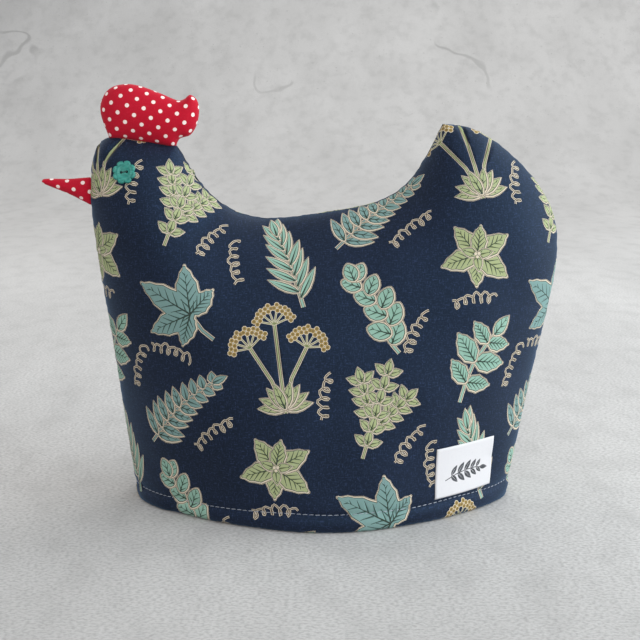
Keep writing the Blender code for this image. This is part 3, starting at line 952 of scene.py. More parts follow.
class Pen:
    """Draws one sprig in its own millimetres, upright about the origin, the bottom shape first."""

    HIGHLIGHT = np.array([-0.16, 0.16])  # the fill sits a little off its cream margin
    MARGINS = ((Ink.CREAM, 1.00, 1.0), (Ink.EDGE, 0.86, 1.0), (Ink.CREAM, 0.58, 1.0), (Ink.VEIN, 0.12, 0.0))
    WITHIN = -0.22  # how far the fill stays inside the leaf's own line
    SMALL = 9.0  # leaves shorter than this are drawn more simply

    def __init__(self, fill: Ink, seed: int) -> None:
        """Starts an empty sprig in an ink, with its own small chances.

        Args:
            fill: the ink of its leaves.
            seed: for its chances.
        """
        self.fill = fill
        self.chance = random.Random(seed)
        self.shapes: list[Patch] = []

    def shape(self, outline: np.ndarray, ink: Ink) -> None:
        """Adds one shape."""
        self.shapes.append(Patch(outline, INKS.index(ink)))

    def leaf(
        self, foot: Sequence[float], turn: float, length: float, width: float,
        veins: int = 0, round_tip: bool = False,
    ) -> None:
        """Adds one leaf with its margins, its midrib and its side veins.

        Args:
            foot: where it starts.
            turn: which way it points, in degrees.
            length: from foot to tip.
            width: where it is widest.
            veins: pairs of side veins.
            round_tip: whether it ends round.
        """
        turn += self.chance.uniform(-4.0, 4.0)
        small = length < self.SMALL
        count, teeth = (9, 0.26) if veins > 4 else (4 if small else 6, 0.0)
        spread = 0.7 if small else 1.0
        for ink, margin, shift in self.MARGINS:
            low = np.array(foot) - shift * spread * self.HIGHLIGHT
            self.shape(turned(blade(length, width, round_tip, margin * spread, count, teeth), turn, low), ink)
        self.shape(turned(blade(length, width, round_tip, self.WITHIN, count, teeth), turn, foot), self.fill)
        self.ribs(foot, turn, length, width, veins)

    def ribs(self, foot: Sequence[float], turn: float, length: float, width: float, veins: int) -> None:
        """Adds a leaf's midrib and its pairs of side veins, each over a darker wedge of the fill.

        Args:
            foot: where the leaf starts.
            turn: which way it points, in degrees.
            length: from foot to tip.
            width: where it is widest.
            veins: pairs of side veins.
        """
        small = length < self.SMALL
        if small or not veins:
            wedge = np.array([(0.0, -0.24 * width), (0.86 * length, 0.0), (0.0, 0.05 * width)])
            self.shape(turned(wedge, turn, foot), self.fill.shade)
        reaches = []
        for number in range(veins):
            share = 0.12 + 0.66 * number / max(veins - 1, 1)
            reach = 0.80 * width / 2.0 * math.sin(math.pi * min(share + 0.14, 0.9) ** 0.8) ** 0.88
            reaches += [((share + 0.03 * side) * length, side * reach) for side in (-1.0, 1.0)]
        kinds = ((1.1, 0.15, 0.0, self.fill.shade), (0.31, 0.31, 0.18, Ink.VEIN))
        for back, ahead, tip, ink in kinds[small:]:
            for start, reach in reaches:
                end = start + 1.1 * abs(reach)
                wedge = np.array(
                    [(start - back, 0.0), (start + ahead, 0.0), (end + tip, reach), (end - tip, reach)]
                )
                self.shape(turned(wedge if reach > 0.0 else wedge[::-1], turn, foot), ink)
        thick = 0.3 if small else 0.42
        rib = np.array([(0.0, -thick), (0.93 * length, 0.0), (0.0, thick)])
        self.shape(turned(rib, turn, foot), Ink.VEIN)

    def ribbon(self, line: np.ndarray, width: float, ink: Ink) -> None:
        """Adds a band of even width along a line, in short pieces, so that it may cross itself.

        Args:
            line: the band's middle, one row for each point.
            width: from edge to edge.
            ink: its ink.
        """
        way = unit(np.gradient(line, axis=0))
        side = np.column_stack([-way[:, 1], way[:, 0]]) * width / 2.0
        for i in range(len(line) - 1):
            corners = [
                line[i] - side[i], line[i + 1] - side[i + 1], line[i + 1] + side[i + 1], line[i] + side[i]
            ]
            self.shape(np.array(corners), ink)

    def stem(self, line: Sequence[Sequence[float]], width: float = 0.9) -> None:
        """Adds a stalk, with its margins, along a bent line of a few points."""
        for more, ink in ((1.3, Ink.CREAM), (0.7, Ink.EDGE), (0.1, self.fill)):
            self.ribbon(np.array(line, float), width + more, ink)

    def dot(self, centre: Sequence[float], radius: float, ink: Ink) -> None:
        """Adds a round dot of an ink."""
        turns = np.linspace(0.0, 2.0 * math.pi, 7, endpoint=False)
        self.shape(np.column_stack([np.cos(turns), np.sin(turns)]) * radius + np.array(centre), ink)

    def placed(self, u: float, v: float, turn: float, scale: float = 1.0) -> list[Patch]:
        """The sprig's shapes at a place of the cloth, turned by an angle in degrees and scaled."""
        return [Patch(turned(scale * patch.outline, turn, (u, v)), patch.ink) for patch in self.shapes]


class Sprig(Enum):
    """The kinds of sprig in the print."""

    PAIRED = "paired"
    ROSETTE = "rosette"
    NEEDLES = "needles"
    BUSHY = "bushy"
    COIN = "coin"
    LOBED = "lobed"
    SEEDS = "seeds"
    FERN = "fern"

    def draw(self, fill: Ink, seed: int) -> Pen:
        """A new drawing of this kind in an ink.

        Args:
            fill: the ink of its leaves.
            seed: for its chances.

        Returns:
            The pen that drew it.
        """
        pen = Pen(fill, seed)
        getattr(self, "draw_" + self.value)(pen)
        return pen

    @staticmethod
    def draw_paired(pen: Pen) -> None:
        """Broad leaves in pairs up a bent stem.

        Args:
            pen: the pen that draws.
        """
        pen.stem([(4.0, -25.0), (1.5, -15.0), (0.0, -5.0), (1.0, 6.0), (3.0, 13.0)])
        for x, y, length in ((1.5, -15.0, 14.0), (0.0, -4.0, 17.0), (1.2, 7.0, 13.0)):
            pen.leaf((x, y), 22.0, length, 0.56 * length, 5)
            pen.leaf((x, y), 158.0, length, 0.56 * length, 5)
        pen.leaf((2.6, 12.0), 80.0, 12.0, 6.5, 3)

    @staticmethod
    def draw_rosette(pen: Pen) -> None:
        """Pointed leaves round a centre, with small ones on top.

        Args:
            pen: the pen that draws.
        """
        for turn, length in (
            (-78.0, 15.0), (205.0, 18.0), (-25.0, 19.0), (140.0, 17.0), (42.0, 18.0), (92.0, 14.0)
        ):
            pen.leaf((0.0, 0.0), turn, length, 0.52 * length, 5)
        for turn in (20.0, 170.0, 290.0):
            pen.leaf((0.0, 0.0), turn, 8.0, 4.4, 2)
        for x, y in ((-0.8, 0.3), (0.9, 0.8), (0.3, -1.0)):
            pen.dot((x, y), 0.8, Ink.CREAM)

    @staticmethod
    def draw_needles(pen: Pen) -> None:
        """Long narrow leaves to both sides of an arched stem.

        Args:
            pen: the pen that draws.
        """
        places = [(5.0 * math.sin(1.5 * t), -21.0 + 36.0 * t) for t in np.linspace(0.0, 1.0, 13)]
        pen.stem([(-1.0, -26.0)] + places)
        for number, place in enumerate(places):
            lean = 46.0 - 2.0 * number
            side = 1.0 if number % 2 else -1.0
            pen.leaf(place, 84.0 + side * lean, 17.0 - 0.45 * number, 3.6)
        pen.leaf(places[-1], 80.0, 11.0, 3.6)

    @staticmethod
    def draw_bushy(pen: Pen) -> None:
        """Three twigs with many small leaves in threes.

        Args:
            pen: the pen that draws.
        """
        twigs = (((0.0, -7.0), 120.0, 21.0, 4), ((0.5, -10.0), 58.0, 22.0, 4), ((0.0, -24.0), 90.0, 42.0, 6))
        for foot, turn, length, count in twigs:
            end = ahead(foot, turn, length)
            pen.stem([foot, (np.array(foot) + end) / 2.0, end], 0.5)
            for number in range(1, count + 1):
                place = np.array(foot) + (end - np.array(foot)) * number / count
                for lean in (-62.0, 62.0, 0.0):
                    pen.leaf(place, turn + lean, 7.4, 3.9, 2)

    @staticmethod
    def draw_coin(pen: Pen) -> None:
        """Round leaves by turns along a swaying stem.

        Args:
            pen: the pen that draws.
        """
        places = [(3.5 * math.sin(4.2 * t), -18.0 + 36.0 * t) for t in np.linspace(0.0, 1.0, 9)]
        pen.stem([(1.5, -23.5)] + places)
        for number, place in enumerate(places):
            turn = 90.0 + (48.0 if number % 2 else -48.0)
            pen.leaf(place, turn, 12.0 - 0.3 * number, 8.6 - 0.25 * number, 3, True)
        pen.leaf(places[-1], 88.0, 9.5, 7.0, 3, True)

    @staticmethod
    def draw_lobed(pen: Pen) -> None:
        """One broad leaf of five lobes on a stalk.

        Args:
            pen: the pen that draws.
        """
        pen.stem([(-5.0, -25.0), (-4.0, -18.0), (0.0, -9.0)])
        lobes = (
            (90.0, 30.0, 12.0), (38.0, 24.0, 11.0), (142.0, 24.0, 11.0),
            (-12.0, 16.0, 9.0), (192.0, 16.0, 9.0)
        )
        foot = np.array((0.0, -9.0))
        for ink, margin, shift in (*pen.MARGINS, (pen.fill, pen.WITHIN, 0.0)):
            for turn, length, width in lobes:
                outline = blade(length, width, False, margin, 11, 0.3)
                pen.shape(turned(outline, turn, foot - shift * pen.HIGHLIGHT), ink)
            pen.dot(foot + (0.0, 2.0) - shift * pen.HIGHLIGHT, 4.6 + margin, ink)
        for turn, length, width in lobes:
            pen.ribs(foot, turn, length, width, 5)

    @staticmethod
    def draw_seeds(pen: Pen) -> None:
        """Flat heads of golden seeds over a tuft of small leaves.

        Args:
            pen: the pen that draws.
        """
        heads = (((-13.0, 9.0), 112.0), ((14.0, 6.0), 66.0), ((0.0, 19.0), 90.0))
        for head, turn in heads:
            pen.stem([(0.0, -24.0), (head[0] * 0.35, -8.0), head], 0.6)
            tips = [ahead(head, turn + lean, 8.6) for lean in (-72, -44, -15, 15, 44, 72)]
            for width, ink in ((0.95, Ink.CREAM), (0.42, Ink.LIME_SHADE)):
                for tip in tips:
                    pen.ribbon(np.array([head, (np.array(head) + tip) / 2.0, tip]), width, ink)
            seeds = [ahead(tip, turn + lean, 1.5) for tip in tips for lean in (0.0, 90.0, 180.0, 270.0)]
            for radius, ink in ((1.38, Ink.CREAM), (1.08, Ink.GOLD), (0.36, Ink.EDGE)):
                for place in seeds:
                    pen.dot(place, radius, ink)
        for turn in (8.0, 172.0, 30.0, 150.0, 52.0, 128.0, 76.0, 104.0):
            pen.leaf((0.0, -22.0), turn, 13.0, 4.2, 3)

    @staticmethod
    def draw_fern(pen: Pen) -> None:
        """Leaflets in pairs along an arched frond, smaller towards its tip.

        Args:
            pen: the pen that draws.
        """
        places = [(9.0 * t * t - 3.0, -22.0 + 44.0 * t) for t in np.linspace(0.0, 1.0, 9)]
        pen.stem([(-3.5, -28.0)] + places, 0.6)
        for number, (x, y) in enumerate(places):
            length = 14.5 - 1.15 * number
            lean = 18.0 * (x + 3.0) / 9.0
            for side in (-1.0, 1.0):
                pen.leaf((x, y), 90.0 - lean + side * 62.0, length, 4.4, 3 if length > 9.0 else 0)
        pen.leaf(places[-1], 64.0, 8.0, 3.6)


def tendril(u: float, v: float, turn: float, length: float, seed: int) -> list[Patch]:
    """A loose curl of vine, drawn as a brown line with a cream margin.

    Args:
        u: where its middle is, across the cloth.
        v: where its middle is, up the cloth.
        turn: which way it runs, in degrees.
        length: from end to end.
        seed: for its own small chances.

    Returns:
        Its shapes, the bottom one first.
    """
    pen = Pen(Ink.CREAM, seed)
    loops = length / 4.6
    share = np.linspace(0.0, 1.0, round(11 * loops))
    phase = 2.0 * math.pi * loops * share
    swing = 1.7 + 1.5 * np.sin(4.6 * phase / loops + seed) ** 2
    x = length * (share - 0.5) + (1.6 + 0.4 * np.sin(7.0 * share + seed)) * np.sin(phase)
    y = swing * np.cos(phase) + 2.2 * np.sin(math.pi * share)
    line = np.column_stack([x, y])
    pen.ribbon(line, 1.2, Ink.CREAM)
    pen.ribbon(line, 0.55, Ink.EDGE)
    return pen.placed(u, v, turn)


@dataclass(frozen=True)
class Toss:
    """One sprig of the repeat: its kind, ink, place and turn, and the curl of vine beside it."""

    kind: Sprig
    ink: Ink
    u: float
    v: float
    turn: float
    curl_u: float
    curl_v: float
    curl_turn: float
    curl_length: float


@dataclass(frozen=True)
class HerbPrint:
    """The printed cotton's tossed sprigs, repeated with a half drop from column to column."""

    width: float = 108.0
    height: float = 224.0
    scale: float = 1.10
    reach: float = 36.0  # the farthest that a sprig or its curl lies from its place
    tosses: tuple[Toss, ...] = (
        Toss(Sprig.COIN, Ink.MINT, 0.0, 0.0, 24.0, 22.0, -13.0, 62.0, 24.0),
        Toss(Sprig.ROSETTE, Ink.LIME, 55.0, 28.0, -12.0, -2.0, -25.0, 8.0, 24.0),
        Toss(Sprig.FERN, Ink.TEAL, 1.0, 58.0, -38.0, 20.0, -14.0, 36.0, 28.0),
        Toss(Sprig.SEEDS, Ink.LIME, 57.0, 84.0, 8.0, 25.5, -18.0, 82.0, 24.0),
        Toss(Sprig.LOBED, Ink.TEAL, 0.0, 114.0, 62.0, -4.0, -27.0, -12.0, 26.0),
        Toss(Sprig.NEEDLES, Ink.MINT, 57.0, 140.0, 28.0, -24.0, 0.0, 98.0, 26.0),
        Toss(Sprig.BUSHY, Ink.LIME, 0.0, 171.0, -16.0, 19.0, -20.0, 52.0, 24.0),
        Toss(Sprig.PAIRED, Ink.MINT, 57.0, 199.0, -30.0, 26.0, -9.0, 68.0, 26.0),
    )

    def patches(self, low: np.ndarray, high: np.ndarray, shift: tuple[float, float]) -> list[Patch]:
        """The shapes that a cut of the cloth may show.

        Args:
            low: the cut's least u and v.
            high: its greatest u and v.
            shift: where the repeat starts.

        Returns:
            The shapes, the bottom one first.
        """
        found: list[Patch] = []
        first = math.floor((low[0] - shift[0]) / self.width) - 1
        last = math.ceil((high[0] - shift[0]) / self.width)
        reach = self.reach
        for column in range(first, last + 1):
            drop = self.height / 2.0 * (column % 2)
            for row in range(-2, 3):
                for number, toss in enumerate(self.tosses):
                    u = shift[0] + column * self.width + toss.u
                    v = shift[1] + row * self.height + drop + toss.v
                    if not (low[0] - reach < u < high[0] + reach and low[1] - reach < v < high[1] + reach):
                        continue
                    found += toss.kind.draw(toss.ink, number).placed(u, v, toss.turn, self.scale)
                    found += tendril(
                        u + toss.curl_u, v + toss.curl_v, toss.curl_turn, toss.curl_length, number
                    )
        return found


# ---- the padded panels ----


class Side(Enum):
    """Which side of the seam a piece is on: the sign of its y, and its place in the print's repeat."""

    FRONT = (-1.0, (-68.0, 2.0))
    BACK = (1.0, (-52.0, -69.0))

    def __init__(self, sign: float, shift: tuple[float, float]) -> None:
        """Keeps the side's sign and its place in the print."""
        self.sign = sign
        self.shift = shift

    @property
    def word(self) -> str:
        """The side's name in the names of pieces."""
        return self.name.lower()


@dataclass(frozen=True)
class Crease:
    """A soft fold: from where to where it runs, how wide and how high it is, less than 0 for a trough."""

    start: tuple[float, float]
    end: tuple[float, float]
    width: float
    height: float


@dataclass(frozen=True)
class Flare:
    """A place where the hem stands forward: its middle along x, its reach, its rise and how high it fades."""

    middle: float
    reach: float
    rise: float
    height: float


@dataclass
class PanelForm:
    """The shape of a padded panel: its solid's shape, with the sewing and the handling added."""

    seam: tuple[Knot, ...] = knots(
        (118.2, 0.0, True), (119.7, 12.0), (122.3, 27.0), (125.5, 45.0), (132.0, 80.0),
        (138.4, 112.0), (142.2, 140.0),
        (139.5, 162.5), (127.5, 183.0), (107.0, 202.0), (91.5, 210.2), (77.0, 212.0, True), (69.0, 195.5),
        (58.0, 179.5), (43.0, 170.0), (17.0, 164.3), (-18.0, 160.3), (-36.0, 164.1), (-50.0, 173.5),
        (-60.6, 187.5), (-64.6, 194.8), (-67.6, 199.7, True), (-86.0, 202.9), (-104.6, 204.7),
        (-110.8, 200.9),
        (-114.4, 192.5), (-115.6, 183.0), (-116.1, 167.6), (-113.2, 137.0), (-107.4, 95.0),
        (-101.5, 47.0), (-97.5, 15.0), (-95.5, 0.0, True),
    )
    edge: float = 1.15  # half thickness where the panels meet, with half their gap
    bulge: float = 61.0  # how far the middle of the hem stands out past that
    fullness: float = 0.62
    top_height: float = 212.0
    top_taper: float = 0.42
    wadding: float = 8.0
    hem_wadding: float = 6.5
    hem_line: tuple[tuple[float, float], ...] = (  # x and height of the topstitching, which wanders
        (-90.0, 8.4), (-50.0, 8.8), (-32.0, 9.4), (-5.0, 10.4), (15.0, 9.9), (38.0, 10.3), (60.0, 9.9),
        (86.0, 11.4), (110.0, 10.6),
    )
    hem_height: float = 9.9
    fold_radius: float = 2.5
    end_fold: float = 0.3  # share of the fold's radius at the ends of the hem
    flares: tuple[Flare, ...] = (Flare(17.0, 33.0, 2.2, 30.0), Flare(-84.0, 11.0, 3.2, 24.0))
    roll: float = 0.8  # how far the stuffed hem stands out between its fold and its stitching
    groove: float = 1.0
    groove_spread: float = 1.7
    stitch_pitch: float = 3.35
    valley: float = 0.35  # how deep the seam is drawn in
    seam_gap: float = 0.12  # half the gap between the panels at the seam
    valley_width: float = 1.3
    pucker: float = 0.10
    pucker_fade: float = 9.0
    neck: tuple[float, float] = (-62.0, 189.0)
    neck_spread: float = 17.0
    neck_pucker: float = 3.4  # how many times more the seam puckers at the neck
    unevenness: float = 0.35
    full_fold: float = 26.0  # how far the cloth stands out where the hem's fold has its full radius
    full_roll: float = 16.0
    full_unevenness: float = 14.0
    step: float = 1.3
    creases: tuple[Crease, ...] = (
        Crease((-52.0, 176.0), (-78.0, 168.0), 3.2, -0.8),
        Crease((-47.0, 170.0), (-70.0, 158.0), 3.6, 0.6),
        Crease((-41.0, 166.0), (-62.0, 148.0), 4.0, -0.7),
        Crease((54.0, 178.0), (74.0, 168.0), 4.0, -0.5),
        Crease((-96.0, 30.0), (-70.0, 24.0), 5.0, -0.5),
        Crease((116.0, 26.0), (96.0, 34.0), 5.0, -0.5),
    )
    line: np.ndarray = field(init=False)
    pieces: np.ndarray = field(init=False)
    around: np.ndarray = field(init=False)
    middle_reach: float = field(init=False)

    def __post_init__(self) -> None:
        """Works out the seam line, its mirror below the table, and the reach at the hem's middle."""
        self.line = curve_through(self.seam, self.step)
        self.pieces = pieces_of(
            self.line[::2] if len(self.line) % 2 else np.vstack([self.line[::2], self.line[-1:]])
        )
        self.around = np.concatenate([self.pieces, self.pieces * np.array([1.0, -1.0])])
        middle = np.array([[(self.seam[0].x + self.seam[-1].x) / 2.0, 0.0]])
        self.middle_reach = math.sqrt(2.0 / pull_of(middle, self.around)[0][0])

    def border(self) -> np.ndarray:
        """The panel's whole outline, anticlockwise: the seam, then the hem from breast to tail.

        Returns:
            Its points, one row each.
        """
        start, end = self.seam[-1].x, self.seam[0].x
        count = round((end - start) / self.step)
        hem = [(start + (end - start) * i / count, 0.0) for i in range(1, count)]
        return np.concatenate([self.line, hem])

    def swell(self, spots: np.ndarray) -> tuple[np.ndarray, np.ndarray]:
        """How far the plain padded cloth stands out from the seam's plane, and its slopes.

        Args:
            spots: the places, rows of x and z.

        Returns:
            The depth past the edge's, and its slopes along x and z.
        """
        pull, change = pull_of(spots, self.around)
        reach = np.sqrt(2.0 / pull) / self.middle_reach
        reach_slope = -0.5 * (reach / pull)[:, None] * change
        high = np.clip(spots[:, 1] / self.top_height, 0.0, 1.0)
        taper = 1.0 - self.top_taper * high**2
        depth = self.bulge * taper * reach**self.fullness
        slope = depth[:, None] * self.fullness * reach_slope / reach[:, None]
        slope[:, 1] -= self.bulge * reach**self.fullness * self.top_taper * 2.0 * high / self.top_height
        return depth, slope

    def ripple(self, along: np.ndarray) -> np.ndarray:
        """Uneven small waves along the seam, stronger at the neck, as the stitches draw the cloth.

        Args:
            along: how far along the seam each place is.

        Returns:
            The rise at each.
        """
        waves = ((6.3, 0.4, 1.0), (9.1, 2.0, 0.8), (14.7, 4.4, 0.9), (4.4, 1.1, 0.5))
        neck = np.abs(along - self.neck_along())
        strength = self.pucker * (1.0 + self.neck_pucker * np.exp(-((neck / self.neck_spread) ** 2)))
        return strength * sum(
            share * np.sin(2.0 * math.pi * along / run + start) for run, start, share in waves
        )

    def neck_along(self) -> float:
        """How far along the seam the neck lies."""
        return float(nearest_on(np.array([self.neck]), self.pieces).along[0])

    def relief(self, spots: np.ndarray, depth: np.ndarray, seam: Nearest) -> np.ndarray:
        """What the sewing and the handling raise the cloth by, square to it.

        Args:
            spots: the places, rows of x and z.
            depth: how far each stands out from the seam's plane.
            seam: the nearest place on the seam to each.

        Returns:
            The rise at each place, less than 0 where the cloth is drawn in.
        """
        x, z = spots[:, 0], spots[:, 1]
        settled = 1.0 - np.exp(-((depth / self.full_unevenness) ** 2))
        hem = self.hem_at(x)
        open_fold = np.clip(depth / self.full_fold, 0.0, 1.0)
        radius = self.fold_radius * (self.end_fold + (1.0 - self.end_fold) * open_fold)
        rise = np.sqrt(radius**2 - np.clip(radius - z, 0.0, radius) ** 2) - radius
        roll = self.roll * (0.45 + 0.55 * np.clip(depth / self.full_roll, 0.0, 1.0))
        rise += roll * np.sin(math.pi * np.clip(z / hem, 0.0, 1.0)) ** 2
        stitches = 0.86 + 0.14 * np.cos(2.0 * math.pi * self.hem_along(x) / self.stitch_pitch)
        rise -= self.groove * stitches * np.exp(-(((z - hem) / self.groove_spread) ** 2))
        rise -= self.valley * np.exp(-((depth / self.valley_width) ** 2))
        rise += self.ripple(seam.along) * np.exp(-depth / self.pucker_fade)
        uneven = np.sin(x / 11.3 + 0.7) * np.sin(z / 9.7 + 1.9) + 0.8 * np.sin(x / 19.0 - z / 15.0 + 2.4)
        uneven += 0.6 * np.sin(x / 6.1 + z / 23.0)
        rise += self.unevenness * uneven * settled * np.clip((z - hem) / 12.0, 0.0, 1.0)
        for crease in self.creases:
            start, end = np.array(crease.start), np.array(crease.end)
            run = end - start
            length = np.linalg.norm(run)
            share = ((spots - start) @ run) / length**2
            aside = np.abs((spots - start) @ np.array([-run[1], run[0]])) / length
            ends = np.clip(np.sin(math.pi * np.clip(share * 0.9 + 0.1, 0.0, 1.0)), 0.0, 1.0)
            rise += (
                crease.height * ends * np.exp(-((aside / crease.width) ** 2)) * np.clip(depth / 8.0, 0.0, 1.0)
            )
        return rise

    def hem_at(self, x: np.ndarray) -> np.ndarray:
        """How high the topstitching runs at each x."""
        return np.interp(x, *zip(*self.hem_line))

    def flared(self, spots: np.ndarray) -> np.ndarray:
        """How far the hem stands forward of the plain padded cloth at each place.

        Args:
            spots: the places, rows of x and z.

        Returns:
            The extra depth at each.
        """
        return sum(
            flare.rise
            * np.exp(-(((spots[:, 0] - flare.middle) / flare.reach) ** 4))
            * np.clip(1.0 - spots[:, 1] / flare.height, 0.0, 1.0) ** 1.5
            for flare in self.flares
        )

    def hem_along(self, x: np.ndarray) -> np.ndarray:
        """How far along the topstitching each x is, measured on the cloth."""
        return np.interp(x, *self.hem_table)

    @cached_property
    def hem_table(self) -> tuple[np.ndarray, np.ndarray]:
        """Places along the topstitching and the cloth's length up to each, worked out once.

        Returns:
            The x of each place, and the lengths.
        """
        row = np.linspace(self.seam[-1].x - 1.0, self.seam[0].x + 0.8, 260)
        depth = self.swell(np.column_stack([row, self.hem_at(row)]))[0]
        return row, np.concatenate([[0.0], np.cumsum(np.hypot(np.diff(row), np.diff(depth)))])

    def outer(self, spots: np.ndarray, on_seam: np.ndarray) -> np.ndarray:
        """The outer face, as rows of x, depth from the seam's plane and z.

        Args:
            spots: the places, rows of x and z.
            on_seam: which of them lie on the seam itself.

        Returns:
            The points of the outer face, with the sewing's relief.
        """
        swell, slope = self.swell(spots)
        seam = nearest_on(spots, self.pieces)
        depth = np.where(on_seam, self.seam_gap, swell + self.edge + self.flared(spots))
        facing = np.column_stack([-slope[:, 0], np.ones(len(spots)), -slope[:, 1]])
        facing[on_seam] = np.column_stack([seam.side[:, 0], np.zeros(len(spots)), seam.side[:, 1]])[on_seam]
        facing[:, 2] *= np.clip(spots[:, 1] / 6.0, 0.0, 1.0)
        face = np.column_stack([spots[:, 0], depth, spots[:, 1]])
        face += unit(facing) * self.relief(spots, depth, seam)[:, None]
        face[:, 1] = np.maximum(face[:, 1], self.seam_gap)
        return face

    def inner(self, spots: np.ndarray, on_seam: np.ndarray) -> np.ndarray:
        """The lining, as rows of x, depth from the seam's plane and z, a panel's thickness inside.

        Args:
            spots: the places, rows of x and z.
            on_seam: which of them lie on the seam itself.

        Returns:
            The points of the lining.
        """
        swell, slope = self.swell(spots)
        high = np.clip((spots[:, 1] - self.hem_height) / 4.0 + 0.5, 0.0, 1.0)
        thickness = self.hem_wadding + (self.wadding - self.hem_wadding) * high
        depth = swell + self.edge + self.flared(spots) - thickness * np.sqrt(1.0 + (slope**2).sum(1))
        fold = self.fold_radius - np.sqrt(
            self.fold_radius**2 - np.clip(self.fold_radius - spots[:, 1], 0.0, self.fold_radius) ** 2
        )
        depth = np.where(on_seam, 0.0, np.maximum(depth, 0.0))
        depth = np.where(depth > 2.0, depth + 0.4 * fold, depth)
        seam = nearest_on(spots, self.pieces)
        face = np.column_stack([spots[:, 0], depth + 0.04, spots[:, 1]])
        drawn = np.where(on_seam, self.valley + 0.1, 0.0)
        face[:, [0, 2]] -= seam.side * drawn[:, None]
        face[:, 2] = np.where(spots[:, 1] <= 0.0, 0.0, face[:, 2])
        return face

    def seat(self, side: Side, x: float, z: float) -> tuple[Vector, Vector]:
        """A point of the outer face on one side, and the direction it faces.

        Args:
            side: which panel.
            x: how far along.
            z: how high.

        Returns:
            The point in millimetres and the unit vector out of the cloth.
        """
        spots = np.array([[x, z], [x + 0.4, z], [x, z + 0.4]])
        face = self.outer(spots, np.zeros(3, bool)) * np.array([1.0, side.sign, 1.0])
        facing = Vector(face[1] - face[0]).cross(Vector(face[2] - face[0])).normalized()
        return Vector(face[0]), facing * (1.0 if facing.y * side.sign > 0.0 else -1.0)


@dataclass
class FlatPanel:
    """The panel's cut laid flat, and the ways between it and the panel's x and z."""

    form: PanelForm
    border: np.ndarray = field(init=False)
    to_panel: FlatMap = field(init=False)
    to_flat: FlatMap = field(init=False)

    def __post_init__(self) -> None:
        """Lays a coarse panel flat."""
        outline = self.form.border()
        rings = rings_inside(outline, ((0.25, 1), (0.8, 1), (1.8, 2), (3.4, 2), (5.8, 3), (9.0, 4)))
        inside = np.concatenate([rings, hexagon_grid(outline, 6.0, 11.0)])
        coarse = tile(outline, inside)
        spots = coarse.points
        seam_count = len(self.form.line)
        on_seam = np.zeros(len(spots), bool)
        rim = [side[0] for side in coarse.rim]
        on_seam[rim[:seam_count]] = True
        depth = np.where(on_seam, 0.0, self.form.swell(spots)[0] + self.form.edge)
        flat = flattened(np.column_stack([spots[:, 0], -depth, spots[:, 1]]), coarse.faces)
        self.border = flat[rim]
        self.to_panel = FlatMap(flat, spots, coarse.faces)
        self.to_flat = FlatMap(spots, flat, coarse.faces)


